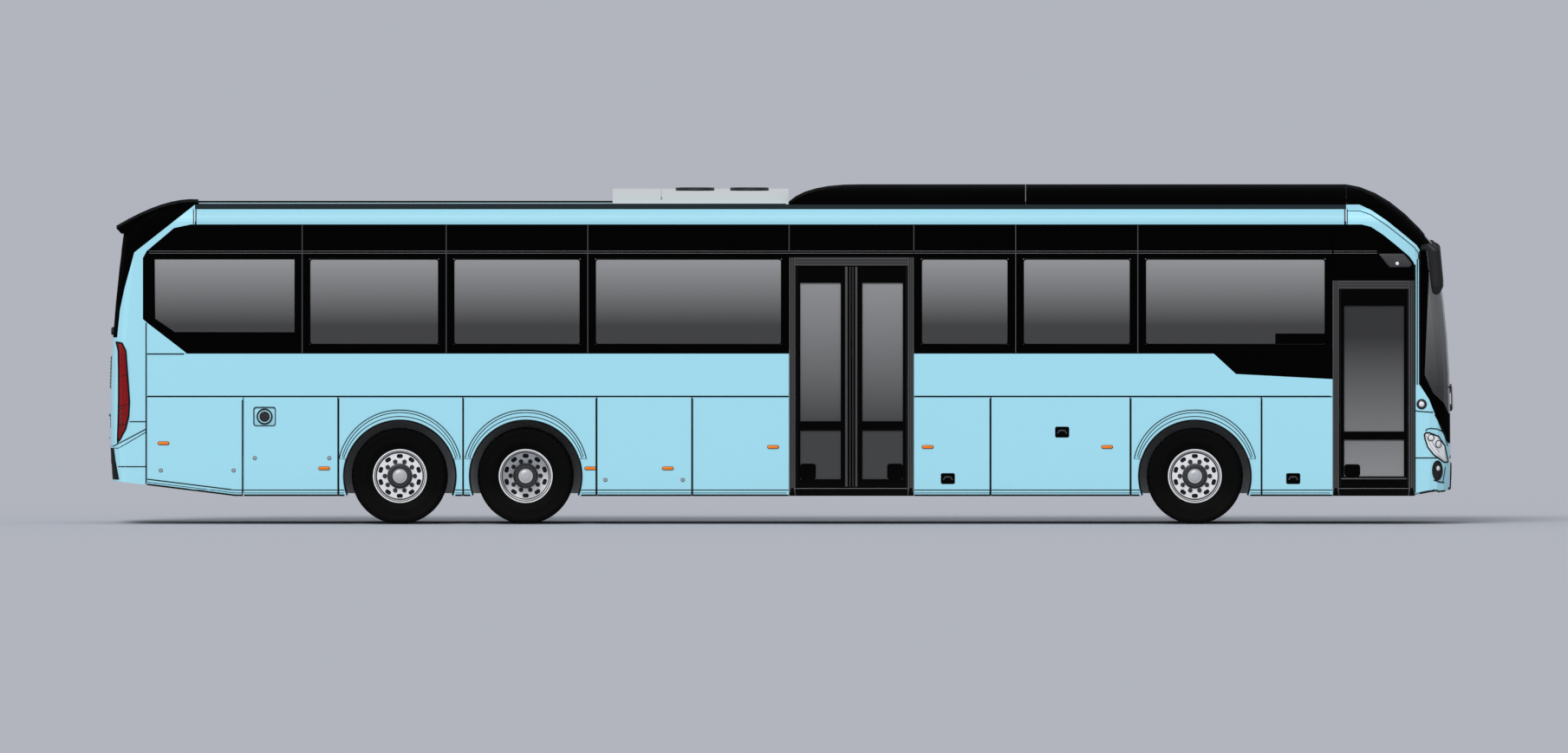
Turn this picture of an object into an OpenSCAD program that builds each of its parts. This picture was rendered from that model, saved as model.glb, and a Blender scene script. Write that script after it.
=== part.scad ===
// Three-axle electric intercity coach, about fifteen metres long.
// X runs forward, Y to the left and Z up. The origin lies on the road under the middle of the body.
// The passenger doors are in the right-hand wall, on the -Y side.

/* [Body shell] */
// Distance from the origin to the foremost point of the nose
front_reach = 7476; // [7350:1:7650]
// Distance from the origin to the rearmost point of the tail
rear_reach = 7476; // [7350:1:7650]
// Width over the side panels
body_w = 2550; // [2480:1:2600]
// Thickness of the walls
wall = 60; // [45:1:75]
// Depth of the outer skin, in which the shut lines are open
skin = 8; // [4:1:15]
// Width of a shut line at the skin
shut = 12; // [4:1:16]
// Hairline left between pieces that are seated on each other
seat = 0.5; // [0.3:0.1:0.8]
// Gap round a flap, hatch or other moving panel
flap_gap = 5; // [5:0.5:8]

/* [Levels] */
// Lower edge of the skirt
skirt_z = 316; // [280:1:340]
// Height of the skirt panels, up to the top of the flaps
panel_h = 1103; // [1080:1:1140]
// Height of the waist panels, up to the black window band
waist_h = 491; // [450:1:520]
// Height of the window band, up to the header panels
window_h = 1128; // [1090:1:1170]
// Height of the header panels, up to the roof cove
header_h = 311; // [270:1:350]
// Height of the cove, up to the gutter rail
cove_h = 168; // [140:1:200]
// Rise from the gutter rail to the top of the roof
roof_h = 51; // [40:1:70]
// Rise of the roof fairing above the roof
fairing_h = 201; // [160:1:260]
// Drop of the cabin floor below the top of the flaps
floor_drop = 69; // [30:1:90]
// How far the cove leans in
cove_lean = 75; // [40:1:120]

/* [Windows] */
// Black margin below the side glass
glass_foot = 96; // [70:1:150]
// Black margin above the side glass
glass_head = 73; // [60:1:170]
// Thickness of the glass
glass_t = 14; // [8:1:25]
// Black margin between a window and the edge of its bay
margin = 82; // [50:1:110]
// Lines between the window bays behind the middle door
bays_behind = [-5340, -3732, -2152]; // [-7000:1:0]
// Lines between the window bays ahead of the middle door
bays_ahead = [2625, 3989]; // [1600:1:6000]

/* [Flaps] */
// Part of the wall between drive arch and middle door that the rear bay's flap takes
rear_flap_part = 0.492; // [0.4:0.001:0.6]
// Part of the wall between middle door and front arch that stays fixed, behind the front bay's flap
front_fixed_part = 0.3572; // [0.3:0.0001:0.5]

/* [Doors] */
// Centre of the middle door
mid_door_x = 792; // [700:1:880]
// Width of the middle door over its portal
mid_door_w = 1392; // [1300:1:1450]
// Drop of the middle door's portal below the header panels
mid_door_drop = 58; // [20:1:130]
// Width of the front door over its portal
front_door_w = 915; // [860:1:960]
// Drop of the front door's portal below the header panels
front_door_drop = 317; // [240:1:390]
// Width of the portal posts
post = 68; // [50:1:80]
// Height of the portal head
head = 90; // [70:1:100]
// Height of the sill's top above the road
sill_z = 406; // [390:1:430]
// Thickness of a door leaf
leaf_t = 45; // [35:1:50]
// Gap between a leaf and its portal on the side towards which it opens
leaf_gap = 9; // [9:0.5:14]
// Radius of a door arm, from the column to the leaf, at the middle door
mid_arm = 370; // [365:1:400]
// The same at the front door
front_arm = 466; // [460:1:500]
// Radius of the door columns
column_r = 20; // [15:1:26]

/* [Running gear] */
// Distance from the nose to the front axle
front_overhang = 2851; // [2790:1:2920]
// Distance from the tail to the tag axle
rear_overhang = 3226; // [3190:1:3250]
// Distance between the tag axle and the drive axle
bogie_base = 1405; // [1390:1:1430]
// Outer radius of the tyres
tyre_r = 538; // [500:1:545]
// Width of the tyres
tyre_w = 312; // [280:1:320]
// Radius at which the tyres sit on the rims
bead_r = 286; // [270:1:300]
// Distance from the middle of the coach to the outer wheels' centre plane
wheel_y = 1094; // [1080:1:1100]
// Spacing of the twin wheels
twin = 351; // [340:1:370]
// Distance from the middle of the coach to the kingpins
kingpin_y = 940; // [925:1:950]
// Radius of the kingpins
kingpin_r = 24; // [18:1:30]
// Radius of the wheel spindles
spindle_r = 50; // [40:1:56]
// Running clearance of pins and spindles
run = 0.3; // [0.2:0.1:0.5]
// Radius of the wheel arches
arch_r = 628; // [610:1:640]
// Outer radius of the raised arch flares
flare_r = 690; // [670:1:692]
// How far the flares stand out
flare_t = 10; // [5:1:20]
// Wheel studs per wheel
studs = 10; // [8:1:12]

/* [Hidden] */
$fn = 48;

// Colours
blue = "#a2ddee";
black = "#0b0b0c";
tint = "#5b5e63";
pale = "#f2f4f5";
grey = "#8d9196";
dark = "#2a2b2d";

// Levels, each from the one below
belt_z = skirt_z + panel_h;
band_z = belt_z + waist_h;
header_z = band_z + window_h;
cove_z = header_z + header_h;
gutter_z = cove_z + cove_h;
roof_z = gutter_z + roof_h;
fairing_z = roof_z + fairing_h;
floor_z = belt_z - floor_drop;
glass_z = band_z + glass_foot;
glass_h = window_h - glass_foot - glass_head;
mid_door_top = header_z - mid_door_drop;
front_door_top = header_z - front_door_drop;

// Axles
front_axle_x = front_reach - front_overhang;
tag_axle_x = -rear_reach + rear_overhang;
drive_axle_x = tag_axle_x + bogie_base;

// Half width, and the body's inner face
hw = body_w / 2;
inner_y = hw - wall;
far = 3 * body_w;

// Stations along the nose, measured from its foremost point
joint_x = front_reach - 1162;
strip_x = front_reach - 396;
strip_w = 56;
strip_end = strip_x + strip_w;
// Stations along the tail
tail_joint_x = -rear_reach + 939;
tail_line_x = -rear_reach + 399;
band_tail_x = -rear_reach + 357;

// Door portals, as [from, to] along X
mid_portal = [mid_door_x - mid_door_w / 2, mid_door_x + mid_door_w / 2];
front_portal = [strip_x - front_door_w, strip_x];

// Lines between the lower panels
charge_line = tail_line_x + 1081;
tag_line = tag_axle_x - 693;
bogie_line = (tag_axle_x + drive_axle_x) / 2;
drive_line = drive_axle_x + 797;
bay_line = drive_line + rear_flap_part * (mid_portal[0] - drive_line);
arch_line = front_axle_x - 724;
hold_line = mid_portal[1] + front_fixed_part * (arch_line - mid_portal[1]);
step_line = front_axle_x + 741;

// Height of the line above the skirt's rubbing strip
strip_z = skirt_z + 65;
// Where the underside of the tail begins to rise, and its height at the end
rise_x = -rear_reach + 1388;
rise_z = skirt_z + 172;

// Basic pieces

// Block given by [from, to] pairs
module block(x, y, z) {
    translate([x[0], y[0], z[0]]) cube([x[1] - x[0], y[1] - y[0], z[1] - z[0]]);
}

// Prism with a side-view outline in X and Z, carried across y = [from, to]
module side_prism(outline, y) {
    translate([0, y[1], 0]) rotate([90, 0, 0]) linear_extrude(y[1] - y[0]) polygon(outline);
}

// Prism with a cross-section in Y and Z, carried along x = [from, to]
module long_prism(outline, x) {
    translate([x[0], 0, 0]) rotate([90, 0, 90]) linear_extrude(x[1] - x[0]) polygon(outline);
}

// The same piece on the right and on the left
module both_sides() {
    children();
    mirror([0, 1, 0]) children();
}

// Right-hand wall panel with a shut line left open all round its skin
module panel(x, z) {
    f = seat / 2;
    g = shut / 2;
    block([x[0] + f, x[1] - f], [-hw + skin, -inner_y], [z[0] + f, z[1] - f]);
    block([x[0] + g, x[1] - g], [-hw, -hw + skin], [z[0] + g, z[1] - g]);
}

// Groove above the rubbing strip along the skirt
module strip_groove(x) {
    block(x, [-hw - skin, -hw + skin / 2], [strip_z - shut / 2, strip_z + shut / 2]);
}

// Wedge cut away under the rising tail
module tail_rise() {
    side_prism([[rise_x, skirt_z], [rise_x, -skirt_z], [-2 * rear_reach, -skirt_z],
        [-rear_reach, rise_z]], [-hw - wall, hw + wall]);
}

// Point on a quadratic curve
function bend(a, b, c, t) = a * pow(1 - t, 2) + b * 2 * t * (1 - t) + c * pow(t, 2);
function curve(a, b, c, n) = [for (i = [0 : n]) bend(a, b, c, i / n)];
// A list of points seen in a mirror at y = 0, in reverse order
function mirrored(p) = [for (i = [len(p) - 1 : -1 : 0]) [-p[i][0], p[i][1]]];
function reversed(p) = [for (i = [len(p) - 1 : -1 : 0]) p[i]];

// Cross-section of the body

// Cove from its lower edge to the gutter, at distance i inside the skin
function cove(i) = [for (k = [0 : 5]) [hw - i - cove_lean * pow(k / 5, 2), cove_z + (gutter_z - cove_z) * k / 5]];
// Fairing from the roof to its crown
fairing_hw = hw - cove_lean - 12;
function fairing(i) = curve([fairing_hw - i, roof_z - i], [fairing_hw - 20 - i, fairing_z - i],
    [fairing_hw - 420 - i, fairing_z - i], 6);
// Whole half-section, with the fairing or with the bare roof on top
function half_section(i, top) = concat([[hw - i, -hw]], cove(i), [[hw - i - cove_lean, roof_z - i]],
    top ? fairing(i) : []);
module section_prism(i, x, top) {
    h = half_section(i, top);
    long_prism(concat(h, mirrored(h)), x);
}

// Nose and tail: the side view drawn in from the middle to the corners along quarter ellipses

// Rake of the windscreen, and the brow where it turns into the fairing
rake = 176;
rake_z = 900;
brow_z = header_z + 39;
nose_corner = [230, 330];
tail_corner = [150, 260];
chin = [340, 65];
function nose_x(z) = front_reach - rake * pow(max(0, z - rake_z) / (brow_z - rake_z), 2.6);
brow = [nose_x(brow_z), brow_z];
crown = [joint_x - 12, fairing_z];
nose_line = concat(
    [[joint_x - wall, skirt_z], [front_reach - chin[0], skirt_z], [front_reach - 8, skirt_z + chin[1]]],
    [for (z = [627, 900, 1300, 1700, 2100, 2500, 2800]) [nose_x(z), z]],
    curve(brow, [brow[0] - 500, fairing_z - 49], crown, 6), [[joint_x - 2 * nose_corner[0], fairing_z]]);

tail_rake = 145;
tail_z = 1400;
tail_top = roof_z - 336;
function tail_x(z) = -rear_reach + tail_rake * pow(max(0, z - tail_z) / (tail_top - tail_z), 1.75);
tail_line = concat([[tail_joint_x + wall, skirt_z], [-rear_reach + 36, skirt_z]],
    [for (z = [484, 745, 861, 1400, 1800, 2100, 2450, 2850]) [tail_x(z) + max(0, 861 - z) * 0.09, z]],
    curve([tail_x(tail_top), tail_top], [tail_x(tail_top) + 170, roof_z - 30], [tail_joint_x, roof_z], 5),
    [[tail_joint_x + 2 * tail_corner[0], roof_z]]);

// Rounded end at distance i inside the skin; dir is +1 for the nose and -1 for the tail
module rounded_end(line, corner, dir, i) {
    translate([-dir * i, 0, -i]) hull() for (a = [0 : 22.5 : 90]) {
        d = corner[0] * (1 - sin(a));
        w = hw - i - corner[1] * (1 - cos(a));
        translate([-dir * d, 0, 0]) side_prism(line, [-w, w]);
    }
}
module nose(i) {
    intersection() {
        rounded_end(nose_line, nose_corner, 1, i);
        section_prism(i, [joint_x + seat / 2 - i, front_reach + wall], true);
    }
}
module tail(i) {
    intersection() {
        rounded_end(tail_line, tail_corner, -1, i);
        section_prism(i, [-rear_reach - wall, tail_joint_x - seat / 2 + i], false);
    }
}
module nose_shell(t) {
    difference() {
        nose(0);
        nose(t);
    }
}
module tail_shell(t) {
    difference() {
        tail(0);
        tail(t);
    }
}

// Outlines on the nose, seen from the side: points are [back from the nose, height]
function from_nose(p) = [for (q = p) [front_reach - q[0], q[1]]];
brow_edge = from_nose([[238, 1397], [192, 1280], [98, 1045], [27, 905], [-wall, 880]]);
band_foot = 1573;
// Lower and upper edge of the corner band's sweep, as [ahead of the roof joint, below the cove or roof]
function below(p, top) = [for (q = p) [joint_x + q[0], top - q[1]]];
band_lower = below([[172, 0], [276, 26], [406, 109], [561, 234], [704, 356], [756, 428]], cove_z);
band_elbow = header_z - 156;
band_upper = below([[147, 0], [276, 59], [458, 181], [665, 349], [782, 448]], roof_z);
band_shoulder = header_z + 25;
corner_outline = concat([[joint_x, cove_z]], band_lower, [[strip_x, band_elbow], [strip_x, band_foot],
    [strip_end, band_foot - 18], [strip_end, band_shoulder]], reversed(band_upper), [[joint_x, roof_z]]);
mask_outline = concat([[joint_x, roof_z]], band_upper, [[strip_end, band_shoulder], [strip_end, band_foot - 18]],
    brow_edge, [[front_reach + wall, fairing_z + wall], [joint_x, fairing_z + wall]]);
screen_outline = from_nose([[285, 1667], [192, 1468], [69, 1351], [16, 1234], [-wall, 1234],
    [-wall, header_z - 48], [234, header_z - 166]]);
bumper_z = 741;
panel_outline = concat([[strip_x, bumper_z], [front_reach + wall, bumper_z]],
    reversed(brow_edge), [[strip_end, band_foot - 18], [strip_x, band_foot]]);
bumper_outline = [[strip_x, 0], [front_reach + wall, 0], [front_reach + wall, bumper_z], [strip_x, bumper_z]];
head_lamp = from_nose([[289, 1002], [270, 1022], [235, 1022], [134, 982], [61, 873], [25, 690], [69, 692],
    [186, 777], [250, 860], [281, 950]]);
fog_lamp = from_nose([for (a = [0 : 30 : 330]) [144 + 53 * cos(a), 600 + 105 * sin(a)]]);
lamp_in = hw - 230;

// Outlines on the tail: points are [ahead of the tail, height]
function from_tail(p) = [for (q = p) [-rear_reach + q[0], q[1]]];
mask_edge = from_tail([[262, 3035], [219, 2874], [157, 2651], [102, 2392], [71, 2084]]);
hatch_z = [873, 2084];
hatch_y = hw - 275;
bumper_tail = [tail_line_x, 1067];
rear_mask_outline = concat([[tail_joint_x, roof_z]], mask_edge, [[-rear_reach - wall, hatch_z[1]],
    [-rear_reach - wall, roof_z + wall], [tail_joint_x, roof_z + wall]]);
band_rear = concat([[tail_joint_x - 43, cove_z], [tail_joint_x - 233, cove_z - 39], [tail_line_x, header_z + 13],
    [band_tail_x, header_z - 65], [band_tail_x, 2291], [tail_line_x, 2255], [tail_joint_x - 94, band_z]]);
quarter_outline = concat([[tail_joint_x, cove_z]], band_rear, [[tail_line_x, band_z], bumper_tail,
    [-rear_reach, hatch_z[0] - 20], [-rear_reach - wall, hatch_z[0] - 20], [-rear_reach - wall, hatch_z[1]]],
    reversed(mask_edge), [[tail_joint_x, roof_z]]);
tail_lamp = from_tail([[62, 2035], [126, 2021], [166, 1940], [180, 1750], [194, 1560], [207, 1370], [199, 1207],
    [166, 1071], [112, 962], [75, 908], [85, 1125], [90, 1397], [90, 1722], [86, 1940]]);
rear_bumper_outline = [bumper_tail, [-rear_reach, hatch_z[0] - 20], [-rear_reach - wall, hatch_z[0] - 20],
    [-rear_reach - wall, 0], [tail_line_x, 0]];

// Roof and upper walls

module roof_panel() {
    edge = hw - cove_lean - 40 - seat;
    crown_h = 14;
    top = [for (k = [-6 : 6]) [edge * k / 6, roof_z - crown_h * pow(k / 6, 2)]];
    color(blue) long_prism(concat([[-edge, gutter_z + seat], [edge, gutter_z + seat]],
        [for (k = [12 : -1 : 0]) top[k]]), [tail_joint_x, joint_x]);
}

module roof_gutters() {
    y = hw - cove_lean;
    color(dark) both_sides() block([tail_joint_x, joint_x], [-y, -y + 40], [gutter_z + seat, roof_z]);
}

module cove_panels() {
    c = cove(0);
    i = cove(wall);
    color(blue) both_sides() mirror([0, 1, 0])
        long_prism(concat(c, [for (k = [5 : -1 : 0]) i[k]]), [tail_joint_x + shut, joint_x - shut]);
}

// Black band outline of one side, from tail to nose
band_outline = concat([[strip_x, band_z], [strip_x, band_elbow]], reversed(band_lower), band_rear);
// Bays as [from, to, window], in which the doors take the place of a window on the right
rear_bay = [band_tail_x, bays_behind[0]];
plain_bays = [[bays_behind[0], bays_behind[1]], [bays_behind[1], bays_behind[2]],
    [bays_behind[2], mid_portal[0]], [mid_portal[1], bays_ahead[0]], [bays_ahead[0], bays_ahead[1]]];
fore_bay = [bays_ahead[1], front_portal[0]];
sweep = [[front_axle_x + 205, band_z], [front_axle_x + 459, band_z - 233], [front_portal[0], band_z - 290],
    [front_portal[0], band_z]];
rear_glass = [[band_tail_x + 130, 2291], [band_tail_x + 358, 2138], [bays_behind[0] - margin, 2138],
    [bays_behind[0] - margin, glass_z + glass_h], [band_tail_x + 130, glass_z + glass_h]];

// Windows of a plain bay, narrower than the bay by the margin on either side
function pane(b) = [[b[0] + margin, glass_z], [b[1] - margin, glass_z], [b[1] - margin, glass_z + glass_h],
    [b[0] + margin, glass_z + glass_h]];
all_panes = concat([rear_glass], [for (b = plain_bays) pane(b)], [pane(fore_bay)]);
left_panes = [pane(mid_portal), pane(front_portal)];
through = [-hw - wall, -inner_y + wall];

module band_half() {
    difference() {
        union() {
            intersection() {
                panel(rear_bay, [band_z, header_z]);
                side_prism(band_outline, through);
            }
            for (b = plain_bays) panel(b, [band_z, header_z]);
            panel(fore_bay, [band_z, header_z]);
            side_prism(sweep, [-hw, -inner_y]);
        }
        for (p = all_panes) side_prism(p, through);
    }
}
module window_bands() {
    color(black) {
        both_sides() band_half();
        mirror([0, 1, 0]) difference() {
            intersection() {
                for (b = [mid_portal, front_portal]) panel(b, [band_z, header_z]);
                side_prism(band_outline, through);
            }
            for (p = left_panes) side_prism(p, through);
        }
    }
}

module side_glass() {
    color(tint) {
        both_sides() for (p = all_panes) side_prism(p, [-hw, -hw + glass_t]);
        mirror([0, 1, 0]) for (p = left_panes) side_prism(p, [-hw, -hw + glass_t]);
    }
}

module header_half(door_tops) {
    intersection() {
        union() {
            for (b = concat([rear_bay], plain_bays, [fore_bay])) panel(b, [header_z, cove_z]);
            panel(mid_portal, [door_tops[0], cove_z]);
            panel(front_portal, [door_tops[1], cove_z]);
        }
        side_prism(band_outline, through);
    }
}
module side_headers() {
    color(black) {
        header_half([mid_door_top, front_door_top]);
        mirror([0, 1, 0]) header_half([header_z, header_z]);
    }
}

module waist_half(x) {
    difference() {
        panel(x, [belt_z, band_z]);
        side_prism(sweep, through);
    }
}
module waist_panels() {
    color(blue) {
        waist_half([tail_line_x, mid_portal[0]]);
        waist_half([mid_portal[1], front_portal[0]]);
        mirror([0, 1, 0]) {
            waist_half([tail_line_x, mid_portal[0]]);
            waist_half([mid_portal[0], mid_portal[1]]);
            waist_half([mid_portal[1], front_portal[0]]);
            waist_half(front_portal);
        }
    }
}

// Skirt: fixed panels, arch panels and flaps

arches = [[tag_axle_x, [tag_line, bogie_line]], [drive_axle_x, [bogie_line, drive_line]],
    [front_axle_x, [arch_line, step_line]]];
flare_z = tyre_r + arch_r + 106 - flare_r;
flare_foot = tyre_r + 197;

module across(x, z, r, y) {
    translate([x, y[1], z]) rotate([90, 0, 0]) cylinder(r = r, h = y[1] - y[0]);
}
module arch_panel(a) {
    difference() {
        union() {
            panel(a[1], [skirt_z, belt_z]);
            intersection() {
                across(a[0], flare_z, flare_r, [-hw - flare_t, -hw + skin]);
                block([a[0] - flare_r, a[0] + flare_r], [-hw - skin - flare_t, -hw + skin], [flare_foot, belt_z]);
            }
        }
        across(a[0], tyre_r, arch_r, [-hw - wall, -inner_y + wall]);
        strip_groove(a[1]);
    }
}
module fixed_panel(x) {
    difference() {
        panel(x, [skirt_z, belt_z]);
        strip_groove(x);
        tail_rise();
    }
}
// Recess with a grab handle in a fixed panel
grab = [140, 110];
module grab_recess(x, z) {
    block([x - grab[0] / 2, x + grab[0] / 2], [-hw - skin, -hw + wall / 2], [z - grab[1] / 2, z + grab[1] / 2]);
}
module skirt_panels() {
    color(blue) {
        both_sides() {
            for (a = arches) arch_panel(a);
            difference() {
                fixed_panel([step_line, front_portal[0]]);
                grab_recess(front_portal[0] - 442, skirt_z + 194);
            }
            difference() {
                fixed_panel([mid_portal[1], hold_line]);
                grab_recess(mid_portal[1] + 380, skirt_z + 194);
            }
            fixed_panel([bay_line, mid_portal[0]]);
        }
        mirror([0, 1, 0]) {
            fixed_panel(front_portal);
            fixed_panel(mid_portal);
            fixed_panel([hold_line, arch_line]);
            fixed_panel([charge_line, tag_line]);
            fixed_panel([tail_line_x, charge_line]);
        }
    }
}

// Flap hung from a rolled bead along its top edge
bead = 8;
flap_t = wall - 20;
flap_axis = [-hw + bead, belt_z - bead - run];
module flap(x) {
    fx = [x[0] + flap_gap, x[1] - flap_gap];
    difference() {
        union() {
            translate([fx[0], flap_axis[0], flap_axis[1]]) rotate([0, 90, 0]) cylinder(r = bead, h = fx[1] - fx[0]);
            block(fx, [-hw, -hw + flap_t], [skirt_z, flap_axis[1]]);
        }
        block([fx[0] - 1, fx[1] + 1], [-hw + 2 * bead, -hw + wall], [flap_axis[1] - bead, belt_z]);
        strip_groove(x);
        tail_rise();
    }
}
// Round locks, as [back from the edge, height]
lock_r = 23;
module lock(x, z) {
    across(x, z, lock_r, [-hw - skin, -hw + skin / 2]);
}
module door_flap_tail() {
    color(blue) difference() {
        flap([tail_line_x, charge_line]);
        for (x = [tail_line_x + 159, charge_line - 109]) lock(x, skirt_z + 284);
    }
}
charge = [tail_line_x + 1317, skirt_z + 887];
inlet = [240, 207];
module door_flap_charge() {
    color(blue) difference() {
        flap([charge_line, tag_line]);
        for (x = [charge_line + 128, tag_line - 94]) lock(x, skirt_z + 422);
        difference() {
            block([charge[0] - inlet[0] / 2, charge[0] + inlet[0] / 2], [-hw - skin, -hw + flap_t / 2],
                [charge[1] - inlet[1] / 2, charge[1] + inlet[1] / 2]);
            across(charge[0], charge[1], 87, [-hw + skin, -hw + wall]);
        }
    }
}
module door_flap_rear_bay() {
    color(blue) difference() {
        flap([drive_line, bay_line]);
        for (x = [drive_line + 93, bay_line - 98]) lock(x, skirt_z + 178);
    }
}
module left_flap_rear_bay() {
    color(blue) mirror([0, 1, 0]) difference() {
        flap([drive_line, bay_line]);
        for (x = [drive_line + 93, bay_line - 98]) lock(x, skirt_z + 178);
    }
}
module door_flap_front_bay() {
    color(blue) difference() {
        flap([hold_line, arch_line]);
        translate([0, -skin, 0]) grab_recess((hold_line + arch_line) / 2 + 18, skirt_z + 713);
    }
}

// Doors

head_cover = 190;
// Posts and head have two reeds along their outer face
reed_w = 7;
reed_d = 6;
module portal(x, top) {
    for (p = [[x[0] + seat / 2, x[0] + post], [x[1] - post, x[1] - seat / 2]]) difference() {
        block(p, [-hw, -inner_y], [skirt_z, top - seat / 2]);
        for (k = [1, 2]) translate([p[0] + k * post / 3, 0, 0])
            block([-reed_w / 2, reed_w / 2], [-hw - reed_d, -hw + reed_d], [sill_z, top]);
    }
    o = [x[0] + post + seat, x[1] - post - seat];
    difference() {
        block(o, [-hw, -inner_y], [top - head, top - seat / 2]);
        for (k = [1, 2]) translate([0, 0, top - k * head / 3])
            block(o, [-hw - reed_d, -hw + reed_d], [-reed_w / 2, reed_w / 2]);
    }
    block(o, [-hw, -inner_y], [skirt_z, sill_z]);
    // Cover over the door gear
    block(o, [-inner_y + seat, -inner_y + head_cover], [top - head, top - seat / 2]);
}
module door_portals() {
    color(black) {
        portal(mid_portal, mid_door_top);
        portal(front_portal, front_door_top);
    }
}

// A leaf hangs on two goose-neck arms that turn on a column; dir points from the column along the leaf
column_in = 60;
column_y = -hw + leaf_t + 100;
neck = 120;
arm_w = 34;
arm_h = 26;
elbow_r = arm_w / 2 + 2;
pin_r = 10;
arm_low = sill_z + 52;
arm_drop = 100;
// A leaf's lower rail and crossbar, as heights above the sill: [rail's top, bar's foot, bar's top]
mid_bars = [97, 641, 744];
front_bars = [128, 537, 630];

module bar_2d(p, q) {
    d = q - p;
    translate(p) rotate(atan2(d[1], d[0])) translate([0, -arm_w / 2]) square([norm(d), arm_w]);
}
module arm(r) {
    path = [[0, 0], [neck, neck], [r - 70, neck], [r, 0]];
    linear_extrude(arm_h) difference() {
        union() {
            for (k = [0 : 2]) bar_2d(path[k], path[k + 1]);
            for (p = path) translate(p) circle(r = elbow_r);
        }
        translate([r, 0]) circle(r = pin_r + run);
    }
}
module arms(x, dir, r, top) {
    translate([x, column_y, 0]) mirror([dir < 0 ? 1 : 0, 0, 0]) {
        translate([0, 0, sill_z + run]) cylinder(r = column_r, h = top - head - sill_z - 2 * run);
        for (z = [arm_low, top - head - arm_drop]) translate([0, 0, z - arm_h / 2]) arm(r);
    }
}
// Brackets that hold one arm's end between two plates
module arm_bracket(x, z) {
    t = 14;
    for (k = [z - arm_h / 2 - run - t, z + arm_h / 2 + run])
        block([x - 28, x + 28], [-hw + leaf_t - 1, column_y + 28], [k, k + t]);
    translate([x, column_y, z - arm_h / 2 - t]) cylinder(r = pin_r, h = arm_h + 2 * t);
}
// Leaf over x = [from, to] with an upper and a lower pane; stile is the frame's width at [rear, front]
module leaf(x, top, stile, rail_top, bars, pin_x) {
    z = [sill_z + flap_gap, top - head - flap_gap];
    gx = [x[0] + stile[0], x[1] - stile[1]];
    panes = [[sill_z + bars[0], sill_z + bars[1]], [sill_z + bars[2], z[1] - rail_top]];
    difference() {
        block(x, [-hw, -hw + leaf_t], z);
        for (p = panes) block(gx, [-hw - 1, -hw + leaf_t + 1], p);
    }
    glass_y = [-hw + leaf_t / 2 - glass_t / 2, -hw + leaf_t / 2 + glass_t / 2];
    for (p = panes) block([gx[0] + seat, gx[1] - seat], glass_y, [p[0] + seat, p[1] - seat]);
    for (zz = [arm_low, top - head - arm_drop]) arm_bracket(pin_x, zz);
}
front_open = [front_portal[0] + post, front_portal[1] - post];
mid_open = [mid_portal[0] + post, mid_portal[1] - post];
front_column = front_open[0] + column_in;
mid_columns = [mid_open[0] + column_in, mid_open[1] - column_in];
mid_meet = 4;

module front_door() {
    color(black) leaf([front_open[0] + leaf_gap, front_open[1] - flap_gap], front_door_top, [48, 48], 186,
        front_bars, front_column + front_arm);
}
module front_door_arms() {
    color(dark) arms(front_column, 1, front_arm, front_door_top);
}
module mid_door_rear() {
    color(black) leaf([mid_open[0] + leaf_gap, mid_door_x - mid_meet], mid_door_top, [46, 116], 190,
        mid_bars, mid_columns[0] + mid_arm);
}
module mid_door_front() {
    color(black) leaf([mid_door_x + mid_meet, mid_open[1] - leaf_gap], mid_door_top, [116, 46], 190,
        mid_bars, mid_columns[1] - mid_arm);
}
module mid_door_rear_arms() {
    color(dark) arms(mid_columns[0], 1, mid_arm, mid_door_top);
}
module mid_door_front_arms() {
    color(dark) arms(mid_columns[1], -1, mid_arm, mid_door_top);
}

// Nose

module front_mask() {
    color(black) difference() {
        intersection() {
            nose_shell(wall);
            side_prism(mask_outline, [-far, far]);
        }
        side_prism(screen_outline, [-far, far]);
    }
}
module windscreen() {
    color(tint) intersection() {
        nose_shell(2 * glass_t);
        side_prism(screen_outline, [-far, far]);
    }
}
module front_corners() {
    color(blue) intersection() {
        nose_shell(wall);
        side_prism(corner_outline, [-far, far]);
    }
}
module lamp_cuts() {
    both_sides() for (p = [head_lamp, fog_lamp]) side_prism(p, [-far, -lamp_in]);
}
module front_panel() {
    color(blue) difference() {
        intersection() {
            nose_shell(wall);
            side_prism(panel_outline, [-far, far]);
        }
        lamp_cuts();
    }
}
module front_bumper() {
    color(blue) difference() {
        intersection() {
            nose_shell(wall);
            side_prism(bumper_outline, [-far, far]);
        }
        lamp_cuts();
    }
}
module front_lamps() {
    color(pale) intersection() {
        nose_shell(wall);
        lamp_cuts();
    }
}

// Mirror on a short arm at each upper corner of the windscreen
mirror_x = front_reach - 300;
mirror_z = [header_z - 482, header_z + 47];
mirror_y = hw + 60;
module mirrors() {
    color(dark) both_sides() {
        difference() {
            hull() {
                translate([mirror_x, -hw + 40, mirror_z[1]]) sphere(r = 38, $fn = 16);
                translate([mirror_x + 90, -mirror_y - 90, mirror_z[1] + 20]) sphere(r = 34, $fn = 16);
            }
            nose(0);
        }
        hull() {
            for (p = [[90, 20, 34], [150, -40, 60], [175, -410, 70], [165, -470, 50]], y = [-160, -20])
                translate([mirror_x + p[0] - 20, -mirror_y + y, mirror_z[1] + p[1]]) sphere(r = p[2], $fn = 16);
        }
    }
}

// Tail

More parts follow.
